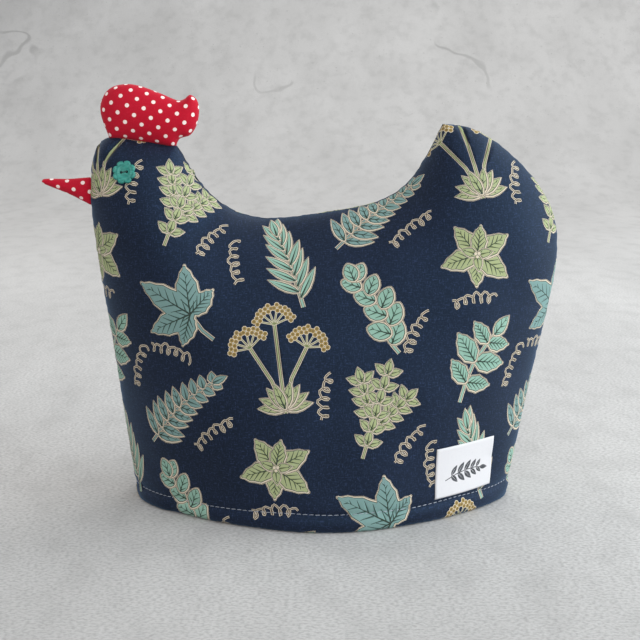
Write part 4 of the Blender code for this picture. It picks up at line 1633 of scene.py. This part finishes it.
@dataclass
class Panel:
    """One padded panel: its printed outer cloth, its hem and its lining, as one closed cloth."""

    side: Side
    form: PanelForm
    flat: FlatPanel
    cloth: HerbPrint
    grid: float = 2.2
    rings: tuple[tuple[float, int], ...] = ((0.45, 1), (1.0, 1), (1.8, 1), (2.8, 1))
    stitch_rows: tuple[float, ...] = (-2.5, -1.6, -0.8, 0.0, 0.8, 1.6, 2.5)  # from the topstitching
    row_step: float = 0.95
    row_clear: float = 0.8
    lining_grid: float = 6.0

    def printed(self) -> Tiling:
        """The outer cloth, cut flat along the panel's outline and along its print.

        Returns:
            The cut in triangles, with the ink of each.
        """
        border = self.flat.border
        patches = self.cloth.patches(border.min(0), border.max(0), self.side.shift)
        if self.side is Side.BACK:
            turn = border.min(0)[0] + border.max(0)[0]
            patches = [Patch((patch.outline * (-1, 1) + (turn, 0))[::-1], patch.ink) for patch in patches]
        left, right = self.form.seam[-1].x + 1.0, self.form.seam[0].x - 0.8
        x = np.arange(left, right, self.row_step)
        rows = np.concatenate([np.column_stack([x, self.form.hem_at(x) + row]) for row in self.stitch_rows])
        grid = hexagon_grid(border, self.grid, self.rings[-1][0] + self.grid / 2.0)
        spots = self.flat.to_panel(grid)
        grid = grid[
            np.abs(spots[:, 1] - self.form.hem_at(spots[:, 0])) > self.stitch_rows[-1] + self.row_clear
        ]
        inside = np.concatenate([rings_inside(border, self.rings), self.flat.to_flat(rows), grid])
        return tile(border, inside, patches)

    def build(self) -> bpy.types.Object:
        """Makes the panel and dresses it.

        Returns:
            The panel as one closed mesh.
        """
        seam_count = len(self.form.line)
        cloth = self.printed()
        spots = self.flat.to_panel(cloth.points)
        on_seam = np.zeros(len(spots), bool)
        on_seam[[i for side in cloth.rim[: seam_count - 1] for i in side]] = True
        on_seam[cloth.rim[seam_count - 1][0]] = True
        hem = [i for side in cloth.rim[seam_count - 1 :] for i in side] + [cloth.rim[0][0]]
        spots[hem, 1] = 0.0
        outer = self.form.outer(spots, on_seam)
        border = self.flat.border
        rings = rings_inside(border, ((1.5, 2), (4.0, 3)))
        lining = tile(border, np.concatenate([rings, hexagon_grid(border, self.lining_grid, 7.0)]))
        lining_spots = self.flat.to_panel(lining.points)
        lining_rim = [side[0] for side in lining.rim]
        lining_seam = np.zeros(len(lining_spots), bool)
        lining_seam[lining_rim[:seam_count]] = True
        lining_spots[lining_rim[seam_count - 1 :] + lining_rim[:1], 1] = 0.0
        inner = self.form.inner(lining_spots, lining_seam)
        points = np.concatenate([outer, inner]) * np.array([1.0, self.side.sign, 1.0])
        count = len(outer)
        faces = cloth.faces.tolist()
        faces += [[count + c, count + b, count + a] for a, b, c in lining.faces.tolist()]
        inks = cloth.inks.tolist() + [INKS.index(Ink.LINING)] * len(lining.faces)
        for number, chain in enumerate(cloth.rim):
            after = (number + 1) % len(cloth.rim)
            start, end = count + lining_rim[number], count + lining_rim[after]
            faces.append([*reversed(chain + [cloth.rim[after][0]]), start, end])
            inks.append(INKS.index(Ink.NAVY))
        if self.side is Side.BACK:
            faces = [face[::-1] for face in faces]
        piece = add_mesh(f"{self.side.word}_panel_cloth", points, faces, [ink.value for ink in INKS])
        piece.data.polygons.foreach_set("material_index", inks)
        map_cloth(piece, np.concatenate([cloth.points, lining.points]))
        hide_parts(f"{self.side.word}_panel")
        return piece


# ---- what is sewn on ----


@dataclass
class Stitching:
    """The topstitching along the hem of one panel."""

    side: Side
    form: PanelForm
    length: float = 2.75
    radius: float = 0.19
    margin: float = 1.2
    rings: int = 5
    corners: int = 6
    proud: float = 0.55  # share of its radius by which a stitch's middle stands out of the cloth
    sunk: float = 0.9  # share by which its ends are lower
    thin: float = 0.25  # share of its radius at its ends

    def spine(self, start: float, end: float) -> np.ndarray:
        """Places along one stitch, by where on the hem it starts and ends, as rows of x and z."""
        x = np.interp(np.linspace(start, end, self.rings), *reversed(self.form.hem_table))
        return np.column_stack([x, self.form.hem_at(x)])

    def build(self) -> bpy.types.Object:
        """Makes all the stitches of the panel as one mesh.

        Returns:
            The stitches.
        """
        along = self.form.hem_table[1]
        starts = np.arange(self.margin, along[-1] - self.margin - self.length, self.form.stitch_pitch)
        phase = self.form.stitch_pitch / 2.0 - self.length / 2.0
        spots = np.concatenate([self.spine(s + phase, s + phase + self.length) for s in starts])
        face = self.form.outer(spots, np.zeros(len(spots), bool))
        lower = self.form.outer(spots - (0.0, 0.5), np.zeros(len(spots), bool))
        points: list[Vector] = []
        faces: list[tuple[int, ...]] = []
        for number in range(len(starts)):
            low = number * self.rings
            line = [Vector(p) for p in face[low : low + self.rings]]
            down = [Vector(p) for p in lower[low : low + self.rings]]
            way = (line[-1] - line[0]).normalized()
            for ring, centre in enumerate(line):
                out = way.cross((centre - down[ring]).normalized())
                out = out if out.y > 0.0 else -out
                up = out.cross(way).normalized()
                share = 2.0 * ring / (self.rings - 1) - 1.0
                radius = self.radius * max(self.thin, math.sqrt(max(0.0, 1.0 - share**4)))
                lift = self.radius * (self.proud - self.sunk * share**4)
                for corner in range(self.corners):
                    turn = 2.0 * math.pi * corner / self.corners
                    points.append(
                        centre + out * (lift + radius * math.cos(turn)) + up * radius * math.sin(turn)
                    )
            base = len(points) - self.rings * self.corners
            faces += tube_faces(base, self.rings, self.corners)
        placed = np.array([tuple(p) for p in points]) * np.array([1.0, self.side.sign, 1.0])
        if self.side is Side.BACK:
            faces = [face[::-1] for face in faces]
        return add_mesh(f"{self.side.word}_hem_topstitching", placed, faces, [PALE_THREAD])


def tube_faces(base: int, rings: int, corners: int) -> list[tuple[int, ...]]:
    """The faces of a closed tube whose rings of points follow each other from a base number.

    Args:
        base: the number of its first point.
        rings: how many rings it has.
        corners: how many points a ring has.

    Returns:
        The faces, with both ends closed.
    """
    faces: list[tuple[int, ...]] = [tuple(base + i for i in reversed(range(corners)))]
    for ring in range(rings - 1):
        start = base + ring * corners
        for i in range(corners):
            after = (i + 1) % corners
            faces.append((start + i, start + after, start + corners + after, start + corners + i))
    faces.append(tuple(base + (rings - 1) * corners + i for i in range(corners)))
    return faces


@dataclass
class StuffedPiece:
    """A stuffed shape of two like cuts of the red cotton, sewn round and closed into the seam."""

    name: str
    outline: tuple[Knot, ...]
    half_thickness: float
    step: float
    pitch_shift: tuple[float, float]
    sink: float = 1.1  # how far its base goes into the seam
    edge: float = 0.35
    fullness: float = 0.5
    slack: float = 0.94  # share of its thickness that the crown gives; stuff() adds very little
    cap: float = 1.2  # the most that stuff() may move a point; its moves stay far below that
    pressure: float = 4.0
    frames: int = 20  # how long the simulation runs
    smoothing: int = 3

    def build(self, form: PanelForm) -> bpy.types.Object:
        """Cuts the piece, stuffs it and dresses it.

        Args:
            form: the panels' shape, whose seam the base follows.

        Returns:
            The stuffed piece.
        """
        border = self.border(form)
        rings = rings_inside(border, tuple((share * self.step, 1) for share in (0.5, 1.3, 2.3)))
        cut = tile(border, np.concatenate([rings, hexagon_grid(border, 1.25 * self.step, 3.0 * self.step)]))
        rim = [side[0] for side in cut.rim]
        pull = pull_of(cut.points, pieces_of(border, True))[0]
        reach = np.sqrt(2.0 / pull)
        reach[rim] = 0.0
        depth = (reach / reach.max()) ** self.fullness * (self.half_thickness * self.slack - self.edge)
        depth[rim] = 0.0
        flat = flattened(np.column_stack([cut.points[:, 0], -depth, cut.points[:, 1]]), cut.faces)
        inner = [i for i in range(len(cut.points)) if i not in set(rim)]
        place = {old: len(cut.points) + new for new, old in enumerate(inner)}
        front = np.column_stack([cut.points[:, 0], -depth - self.edge * (depth > 0), cut.points[:, 1]])
        back = (front * np.array([1.0, -1.0, 1.0]))[inner]
        faces = cut.faces.tolist()
        faces += [[place.get(c, c), place.get(b, b), place.get(a, a)] for a, b, c in cut.faces.tolist()]
        piece = add_mesh(self.name + "_stuffed", np.concatenate([front, back]), faces, [RED_COTTON])
        map_cloth(piece, np.concatenate([flat, flat[inner]]) - np.array(self.pitch_shift))
        seam_count = len(curve_through(self.outline, self.step))
        base = [i for side in cut.rim[seam_count - 1 :] for i in side] + [rim[0]]
        self.stuff(piece, base)
        smooth = piece.modifiers.new("fine_cloth", "SUBSURF")
        smooth.levels = smooth.render_levels = 1
        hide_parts(self.name)
        return piece

    def border(self, form: PanelForm) -> np.ndarray:
        """The outline of the cut, anticlockwise, whose base lies in the panels' seam.

        Args:
            form: the panels' shape.

        Returns:
            Its points, one row each.
        """
        free = curve_through(self.outline, self.step)
        span = nearest_on(free[[0, -1]], form.pieces).along
        ways = np.linspace(span[1], span[0], max(2, round(abs(span[0] - span[1]) / self.step)))
        lengths = np.concatenate([[0.0], np.cumsum(np.linalg.norm(np.diff(form.line, axis=0), axis=1))])
        base = np.column_stack([np.interp(ways, lengths, form.line[:, i]) for i in (0, 1)])
        base -= nearest_on(base, form.pieces).side * self.sink
        return np.concatenate([free, base])

    def stuff(self, piece: bpy.types.Object, base: list[int]) -> None:
        """Runs a cloth simulation with pressure on the piece, its base held in the seam.

        It hardly acts on pieces this small: no point of the comb moves by more than 0.16 mm, and none of
        the beak by as much as 0.01 mm. The crown that build() gives is what makes them look stuffed.

        Args:
            piece: the piece.
            base: the points that are sewn into the seam.
        """
        scene = bpy.context.scene
        sewn = piece.vertex_groups.new(name="sewn")
        sewn.add(base, 1.0, "REPLACE")
        cloth = piece.modifiers.new("stuffing", "CLOTH")
        settings = cloth.settings
        settings.quality = 6
        settings.use_pressure = True
        settings.uniform_pressure_force = self.pressure
        settings.effector_weights.gravity = 0.0
        settings.vertex_group_mass = "sewn"
        cloth.point_cache.frame_start, cloth.point_cache.frame_end = 1, self.frames
        rest = np.array([tuple(v.co) for v in piece.data.vertices])
        for number in range(1, self.frames + 1):
            scene.frame_set(number)
        shaped = piece.evaluated_get(bpy.context.evaluated_depsgraph_get())
        moved = np.array([tuple(v.co) for v in shaped.data.vertices]) - rest
        piece.modifiers.remove(cloth)
        scene.frame_set(1)
        edges = np.array([tuple(edge.vertices) for edge in piece.data.edges])
        for _ in range(self.smoothing):
            total, count = moved.copy(), np.ones(len(moved))
            for here, there in (edges.T, edges.T[::-1]):
                np.add.at(total, here, moved[there])
                np.add.at(count, here, 1.0)
            moved = total / count[:, None]
        moved[base] = 0.0
        length = np.maximum(np.linalg.norm(moved, axis=1), TINY)
        moved *= np.minimum(1.0, self.cap * MM / length)[:, None]
        piece.data.vertices.foreach_set("co", (rest + moved).ravel().astype(np.float32))
        piece.data.update()
        LOG.info("%s stuffed: moved %.2f mm at most before the cap", piece.name, length.max() / MM)


COMB = StuffedPiece(
    "comb",
    knots(
        (-67.9, 200.9, True), (-66.6, 203.7), (-60.2, 206.0), (-56.1, 213.6), (-55.8, 223.6), (-60.2, 228.0),
        (-62.9, 225.9), (-66.4, 224.8), (-76.0, 228.5), (-87.0, 232.4), (-95.0, 233.5), (-103.8, 231.2),
        (-108.7, 224.6), (-109.3, 217.0), (-105.5, 205.6, True),
    ),
    half_thickness=10.0, step=1.5, pitch_shift=(-93.9, 219.7),
)
BEAK = StuffedPiece(
    "beak",
    knots(
        (-116.6, 183.1, True), (-128.0, 182.2), (-142.0, 182.1), (-143.3, 180.6), (-142.2, 179.3),
        (-128.0, 173.4), (-116.9, 167.6, True),
    ),
    half_thickness=4.6, step=1.1, pitch_shift=(-120.6, 177.9),
)


@dataclass
class FlowerButton:
    """A moulded button of rounded petals with two holes, and the thread that holds it."""

    side: Side
    form: PanelForm
    x: float = -94.8
    z: float = 186.8
    tilt: float = 6.0  # degrees, by which the button is turned on its thread
    radius: float = 6.5
    petals: int = 8
    notch: float = 0.2
    dish: float = 0.42  # how deep each petal is hollowed inside its rim
    dish_middle: float = 0.7  # share of the radius where it is deepest
    dish_spread: float = 0.1
    sharp_angle: float = 40.0
    spokes_per_petal: int = 12
    hole_radius: float = 0.78
    hole_spacing: float = 3.05
    thread_radius: float = 0.17
    thread_rings: int = 15
    thread_corners: int = 8
    thread_dive: float = 1.9  # how far the thread's ends go down into the holes
    drill_sides: int = 24
    drill_length: float = 10.0
    profile: tuple[tuple[float, float, float, float], ...] = (
        # share of the radius, height, share of the notches, depth of the grooves between petals
        (0.00, 0.25, 0.0, 0.0), (0.86, 0.25, 1.0, 0.0), (0.94, 0.5, 1.0, 0.0), (0.99, 1.0, 1.0, 0.0),
        (1.00, 1.45, 1.0, 0.05), (0.98, 1.9, 1.0, 0.12), (0.93, 2.2, 1.0, 0.25), (0.85, 2.36, 0.95, 0.34),
        (0.78, 2.42, 0.75, 0.32), (0.71, 2.41, 0.55, 0.26), (0.63, 2.36, 0.3, 0.17), (0.56, 2.28, 0.15, 0.08),
        (0.50, 2.16, 0.0, 0.0), (0.45, 1.98, 0.0, 0.0), (0.40, 1.88, 0.0, 0.0), (0.30, 1.84, 0.0, 0.0),
        (0.15, 1.84, 0.0, 0.0), (0.00, 1.84, 0.0, 0.0),
    )

    def place(self) -> Matrix:
        """Where the button sits, with its third axis out of the cloth.

        Returns:
            The place and turn, in metres.
        """
        seat, facing = self.form.seat(self.side, self.x, self.z)
        level = Vector((0.0, 0.0, 1.0)).cross(facing).normalized()
        turn = Matrix((level, facing.cross(level), facing)).transposed().to_4x4()
        return Matrix.Translation(seat * MM) @ turn @ Matrix.Rotation(math.radians(self.tilt), 4, "Z")

    def build(self) -> list[bpy.types.Object]:
        """Makes the button and its thread.

        Returns:
            The button, then the thread.
        """
        spokes = self.petals * self.spokes_per_petal
        points: list[tuple[float, float, float]] = []
        for share, height, notches, groove in self.profile:
            for number in range(spokes if share else 1):
                turn = 2.0 * math.pi * number / spokes
                gap = 1.0 - math.sqrt(abs(math.sin(self.petals * turn / 2.0)))
                out = self.radius * share * (1.0 - self.notch * gap * notches)
                inward = (share - self.dish_middle) / self.dish_spread
                hollow = self.dish * (1.0 - gap) ** 2 * math.exp(-(inward**2))
                points.append(
                    (out * math.cos(turn), out * math.sin(turn), height - groove * gap**0.7 - hollow)
                )
        last = len(points) - 1
        rings = len(self.profile) - 2
        faces: list[tuple[int, ...]] = []
        for i in range(spokes):
            after = (i + 1) % spokes
            faces.append((0, 1 + after, 1 + i))
            for ring in range(rings - 1):
                low = 1 + ring * spokes
                faces.append((low + i, low + after, low + spokes + after, low + spokes + i))
            top = 1 + (rings - 1) * spokes
            faces.append((top + i, top + after, last))
        name = f"{self.side.word}_eye_flower"
        button = add_mesh(name, np.array(points), faces, [TEAL_PLASTIC])
        place = self.place()
        for share in (-0.5, 0.5):
            self.drill(button, share * self.hole_spacing)
        button.data.transform(place)
        button.data.shade_smooth()
        button.data.set_sharp_from_angle(angle=math.radians(self.sharp_angle))
        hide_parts(f"eye_button_{self.side.word}")
        return [button, self.thread(place)]

    def drill(self, button: bpy.types.Object, shift: float) -> None:
        """Cuts one sewing hole through the button, and throws the drill away.

        Args:
            button: the button.
            shift: how far the hole is from the button's middle.
        """
        shaper = bmesh.new()
        radius = self.hole_radius * MM
        move = Matrix.Translation((shift * MM, 0.0, 0.0))
        bmesh.ops.create_cone(
            shaper, cap_ends=True, segments=self.drill_sides, radius1=radius, radius2=radius,
            depth=self.drill_length * MM, matrix=move,
        )
        mesh = bpy.data.meshes.new("drill")
        shaper.to_mesh(mesh)
        shaper.free()
        drill = added("drill", mesh)
        cut = button.modifiers.new("hole", "BOOLEAN")
        cut.operation = "DIFFERENCE"
        cut.object = drill
        shaped = button.evaluated_get(bpy.context.evaluated_depsgraph_get())
        cut_mesh = bpy.data.meshes.new_from_object(shaped)
        button.modifiers.clear()
        button.data = cut_mesh
        bpy.data.objects.remove(drill)

    def thread(self, place: Matrix) -> bpy.types.Object:
        """Makes the strands between the holes, which dive into them at both ends.

        Args:
            place: where the button sits.

        Returns:
            The strands as one mesh.
        """
        points: list[tuple[float, float, float]] = []
        faces: list[tuple[int, ...]] = []
        rings, corners = self.thread_rings, self.thread_corners
        middle = self.profile[-1][1] + self.thread_radius
        for strand in (-0.5, 0.5):
            base = len(points)
            for ring in range(rings):
                share = 2.0 * ring / (rings - 1) - 1.0
                x = self.hole_spacing / 2.0 * math.sin(share * math.pi / 2.0) * 1.08
                height = middle - self.thread_dive * abs(share) ** 6
                across = strand * self.thread_radius * 1.7
                lean = 1.0 if abs(share) < 0.75 else 0.0
                for corner in range(corners):
                    turn = 2.0 * math.pi * corner / corners
                    flat, tall = self.thread_radius * math.cos(turn), self.thread_radius * math.sin(turn)
                    sunk = 0.0 if lean else -math.copysign(tall, share) * 0.8
                    points.append((x + sunk, across + flat, height + tall * (0.4 + 0.6 * lean)))
            faces += tube_faces(base, rings, corners)
        piece = add_mesh(f"{self.side.word}_eye_thread", np.array(points), faces, [DARK_THREAD])
        piece.data.transform(place)
        return piece


@dataclass
class Label:
    """A small label of white tape, bare but for a plain grey sprig, sewn above the hem."""

    form: PanelForm
    width: float = 39.6
    height: float = 28.5
    left: float = 73.0
    foot: float = 12.8
    rise: float = 0.04
    thickness: float = 0.55
    lift: float = 0.12
    grid: float = 0.9
    edge_ridge: float = 0.12
    ridge_inset: float = 0.7
    ridge_spread: float = 0.5
    askew: float = 0.5  # how far its lower corners lie to the left of a true rectangle's
    sprig_turn: float = 4.0
    sprig_scale: float = 1.16
    columns: int = 34  # places across its width at which it is laid round the curve
    round_edge: float = 0.45  # how far in its edge is rounded
    edge_height: float = 0.25

    def cut(self) -> Tiling:
        """The label cut flat, with its sprig.

        Returns:
            The cut in triangles.
        """
        step = self.grid
        right = np.arange(0.0, self.width, step)
        up = np.arange(0.0, self.height, step)
        sides = (
            (right, np.zeros(len(right))), (np.full(len(up), self.width), up),
            (self.width - right, np.full(len(right), self.height)), (np.zeros(len(up)), self.height - up),
        )
        border = np.concatenate([np.column_stack(side) for side in sides])
        inside = np.concatenate([rings_inside(border, ((0.3, 1), (0.8, 1))), hexagon_grid(border, step, 1.3)])
        return tile(border, inside, self.sprig())

    def sprig(self) -> list[Patch]:
        """A plain sprig of leaves in one ink, lying along the label.

        Returns:
            Its shapes, in the label's own finishes.
        """
        pen = Pen(Ink.NAVY, 3)
        pen.ribbon(
            np.array([(-11.0, -2.2), (-5.0, -0.6), (1.0, 0.0), (7.0, -0.4), (10.5, -1.4)]), 0.45, Ink.TEAL
        )
        for x, length in ((-7.5, 5.4), (-3.6, 6.0), (0.4, 6.0), (4.2, 5.2), (7.6, 4.2)):
            leaf = blade(length, 0.44 * length, False, 0.0)
            rib = np.array([(0.5, -0.1), (0.8 * length, 0.0), (0.5, 0.1)])
            for side in (-1.0, 1.0):
                for outline, ink in ((leaf, Ink.TEAL), (rib, Ink.NAVY)):
                    pen.shape(turned(outline, side * 50.0, (x, -0.4 + 0.1 * side)), ink)
        pen.shape(turned(blade(4.8, 2.2, False, 0.0), -14.0, (9.8, -1.2)), Ink.TEAL)
        placed = pen.placed(
            self.width / 2.0 - 1.0, self.height / 2.0 - 1.3, self.sprig_turn, self.sprig_scale
        )
        return [Patch(patch.outline, min(patch.ink, 1)) for patch in placed]

    def build(self) -> bpy.types.Object:
        """Makes the label on the front panel, at its full width round the curve.

        Returns:
            The label as one closed mesh.
        """
        cut = self.cut()
        columns = np.linspace(0.0, self.width, self.columns)
        x = [self.left]
        for gap in np.diff(columns):
            _, facing = self.form.seat(Side.FRONT, x[-1], self.foot + self.height / 2.0)
            x.append(x[-1] + gap * math.hypot(facing.y, facing.z))
        share_x, share_z = cut.points[:, 0] / self.width, cut.points[:, 1] / self.height
        spots_x = np.interp(cut.points[:, 0], columns, x)
        spots_x += self.askew * (share_z - 1.0 + share_x * (2.0 * share_z - 1.0))
        spots = np.column_stack([spots_x, self.foot + cut.points[:, 1] + self.rise * (spots_x - self.left)])
        seats = [self.form.seat(Side.FRONT, *spot) for spot in spots]
        seat = np.array([tuple(s) for s, _ in seats])
        facing = np.array([tuple(f) for _, f in seats])
        from_edge = np.minimum.reduce(
            [
                cut.points[:, 0], cut.points[:, 1],
                self.width - cut.points[:, 0], self.height - cut.points[:, 1]
            ]
        )
        inward = np.clip(from_edge / self.round_edge, 0.0, 1.0)
        crown = np.sqrt(inward * (2.0 - inward))
        ridge = self.edge_ridge * np.exp(-(((from_edge - self.ridge_inset) / self.ridge_spread) ** 2))
        height = self.lift + self.edge_height + (self.thickness - self.edge_height) * crown + ridge
        top = seat + facing * height[:, None]
        under = seat + facing * self.lift
        count = len(seat)
        rim = [side[0] for side in cut.rim]
        faces = cut.faces.tolist() + [[count + c, count + b, count + a] for a, b, c in cut.faces.tolist()]
        faces += [[b, a, count + a, count + b] for a, b in zip(rim, rim[1:] + rim[:1])]
        piece = add_mesh("label_tape", np.concatenate([top, under]), faces, [WHITE_TAPE, GREY_PRINT])
        piece.data.polygons.foreach_set(
            "material_index", cut.inks.tolist() + [0] * (len(faces) - len(cut.inks))
        )
        map_cloth(piece, np.concatenate([cut.points, cut.points]))
        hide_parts("label")
        return piece


# ---- the studio ----


@dataclass(frozen=True)
class SoftLight:
    """A square studio light: where it stands, what it points at, its side, power and colour."""

    name: str
    place: tuple[float, float, float]
    target: tuple[float, float, float]
    side: float
    watts: float
    colour: tuple[float, float, float]

    def build(self) -> None:
        """Hangs the light."""
        data = bpy.data.lights.new(self.name, "AREA")
        data.shape = "SQUARE"
        data.size = self.side
        data.energy = self.watts
        data.color = self.colour
        lamp = added(self.name, data)
        lamp.location = self.place
        aim = Vector(self.target) - Vector(self.place)
        lamp.rotation_euler = aim.to_track_quat("-Z", "Y").to_euler()


@dataclass(frozen=True)
class Studio:
    """A pale board that bends up behind the cosy, soft light from the right, and the camera. In metres."""

    camera_place: tuple[float, float, float] = (0.010252, -0.66276, 0.24424)
    camera_pitch: float = math.radians(12.0729)
    lens: float = 67.5
    sensor: float = 36.0
    board_width: float = 9.0
    board_front: float = -3.0
    board_back: float = 2.2
    board_bend: float = 0.9
    board_top: float = 3.0
    bend_steps: int = 12
    air_left: Colour = (0.86, 0.87, 0.90, 1.0)
    air_right: Colour = (1.0, 1.02, 1.06, 1.0)
    air_strength: float = 0.48
    lights: tuple[SoftLight, ...] = (
        SoftLight("window", (1.25, -0.15, 0.62), (0.0, 0.0, 0.10), 1.7, 28.5, (0.86, 0.95, 1.0)),
        SoftLight("front_fill", (0.2, -2.1, 1.15), (0.0, 0.0, 0.1), 2.0, 21.0, (1.0, 0.985, 0.96)),
        SoftLight("left_bounce", (-1.1, 0.75, 0.9), (-0.2, 0.05, 0.0), 1.2, 6.5, (1.0, 1.0, 0.98)),
        SoftLight("backdrop", (0.55, 1.0, 1.5), (0.28, 0.9, 0.0), 1.0, 11.5, (1.0, 1.0, 0.99)),
    )

    def build(self) -> None:
        """Sets up the board, the air, the lights and the camera."""
        self.set_board()
        self.set_air()
        for light in self.lights:
            light.build()
        self.set_camera()

    def set_board(self) -> None:
        """Lays the board that bends up behind the cosy."""
        profile = [(self.board_front, 0.0), (self.board_back - self.board_bend, 0.0)]
        for number in range(1, self.bend_steps + 1):
            turn = math.pi / 2.0 * number / self.bend_steps
            back = self.board_back - self.board_bend * (1.0 - math.sin(turn))
            profile.append((back, self.board_bend * (1.0 - math.cos(turn))))
        profile.append((self.board_back, self.board_top))
        half = self.board_width / 2.0
        points = [(x, y, z) for y, z in profile for x in (-half, half)]
        faces = [(2 * i, 2 * i + 1, 2 * i + 3, 2 * i + 2) for i in range(len(profile) - 1)]
        mesh = bpy.data.meshes.new("pale_board")
        mesh.from_pydata(points, [], faces)
        mesh.materials.append(PALE_PLASTER.material())
        mesh.shade_smooth()
        added("pale_board", mesh)

    def set_air(self) -> None:
        """Lights the air evenly, a little brighter from the right."""
        world = bpy.data.worlds.new("air")
        world.use_nodes = True
        nodes, links = world.node_tree.nodes, world.node_tree.links
        way = nodes.new("ShaderNodeTexCoord")
        parts = nodes.new("ShaderNodeSeparateXYZ")
        share = nodes.new("ShaderNodeMapRange")
        air = nodes.new("ShaderNodeMix")
        air.data_type = "RGBA"
        share.inputs["From Min"].default_value = -1.0
        air.inputs[6].default_value, air.inputs[7].default_value = self.air_left, self.air_right
        links.new(way.outputs["Generated"], parts.inputs[0])
        links.new(parts.outputs["X"], share.inputs["Value"])
        links.new(share.outputs[0], air.inputs[0])
        links.new(air.outputs[2], nodes["Background"].inputs["Color"])
        nodes["Background"].inputs["Strength"].default_value = self.air_strength
        bpy.context.scene.world = world

    def set_camera(self) -> None:
        """Sets the camera up, and the plain way in which colours are shown."""
        data = bpy.data.cameras.new("camera")
        data.lens = self.lens
        data.sensor_width = self.sensor
        camera = added("camera", data)
        camera.location = self.camera_place
        camera.rotation_euler = (math.pi / 2.0 - self.camera_pitch, 0.0, 0.0)
        bpy.context.scene.camera = camera
        bpy.context.scene.view_settings.view_transform = "Standard"


def report(piece: bpy.types.Object) -> None:
    """Logs a finished piece and how many faces it has."""
    LOG.info("built %s: %d faces", piece.name, len(piece.data.polygons))


def main() -> None:
    """Builds the studio and every piece of the cosy."""
    logging.basicConfig(level=logging.INFO, format="%(relativeCreated)6.0f ms %(message)s")
    Studio().build()
    form = PanelForm()
    flat = FlatPanel(form)
    around = np.roll(flat.border, -1, axis=0)
    area = abs(np.cross(flat.border, around).sum()) / 2.0
    cloth = HerbPrint()
    for side in Side:
        piece = Panel(side, form, flat, cloth).build()
        stitching = Stitching(side, form).build()
        report(piece)
        report(stitching)
        for part in FlowerButton(side, form).build():
            report(part)
    for stuffed in (COMB, BEAK):
        report(stuffed.build(form))
    report(Label(form).build())


if __name__ == "__main__":
    main()
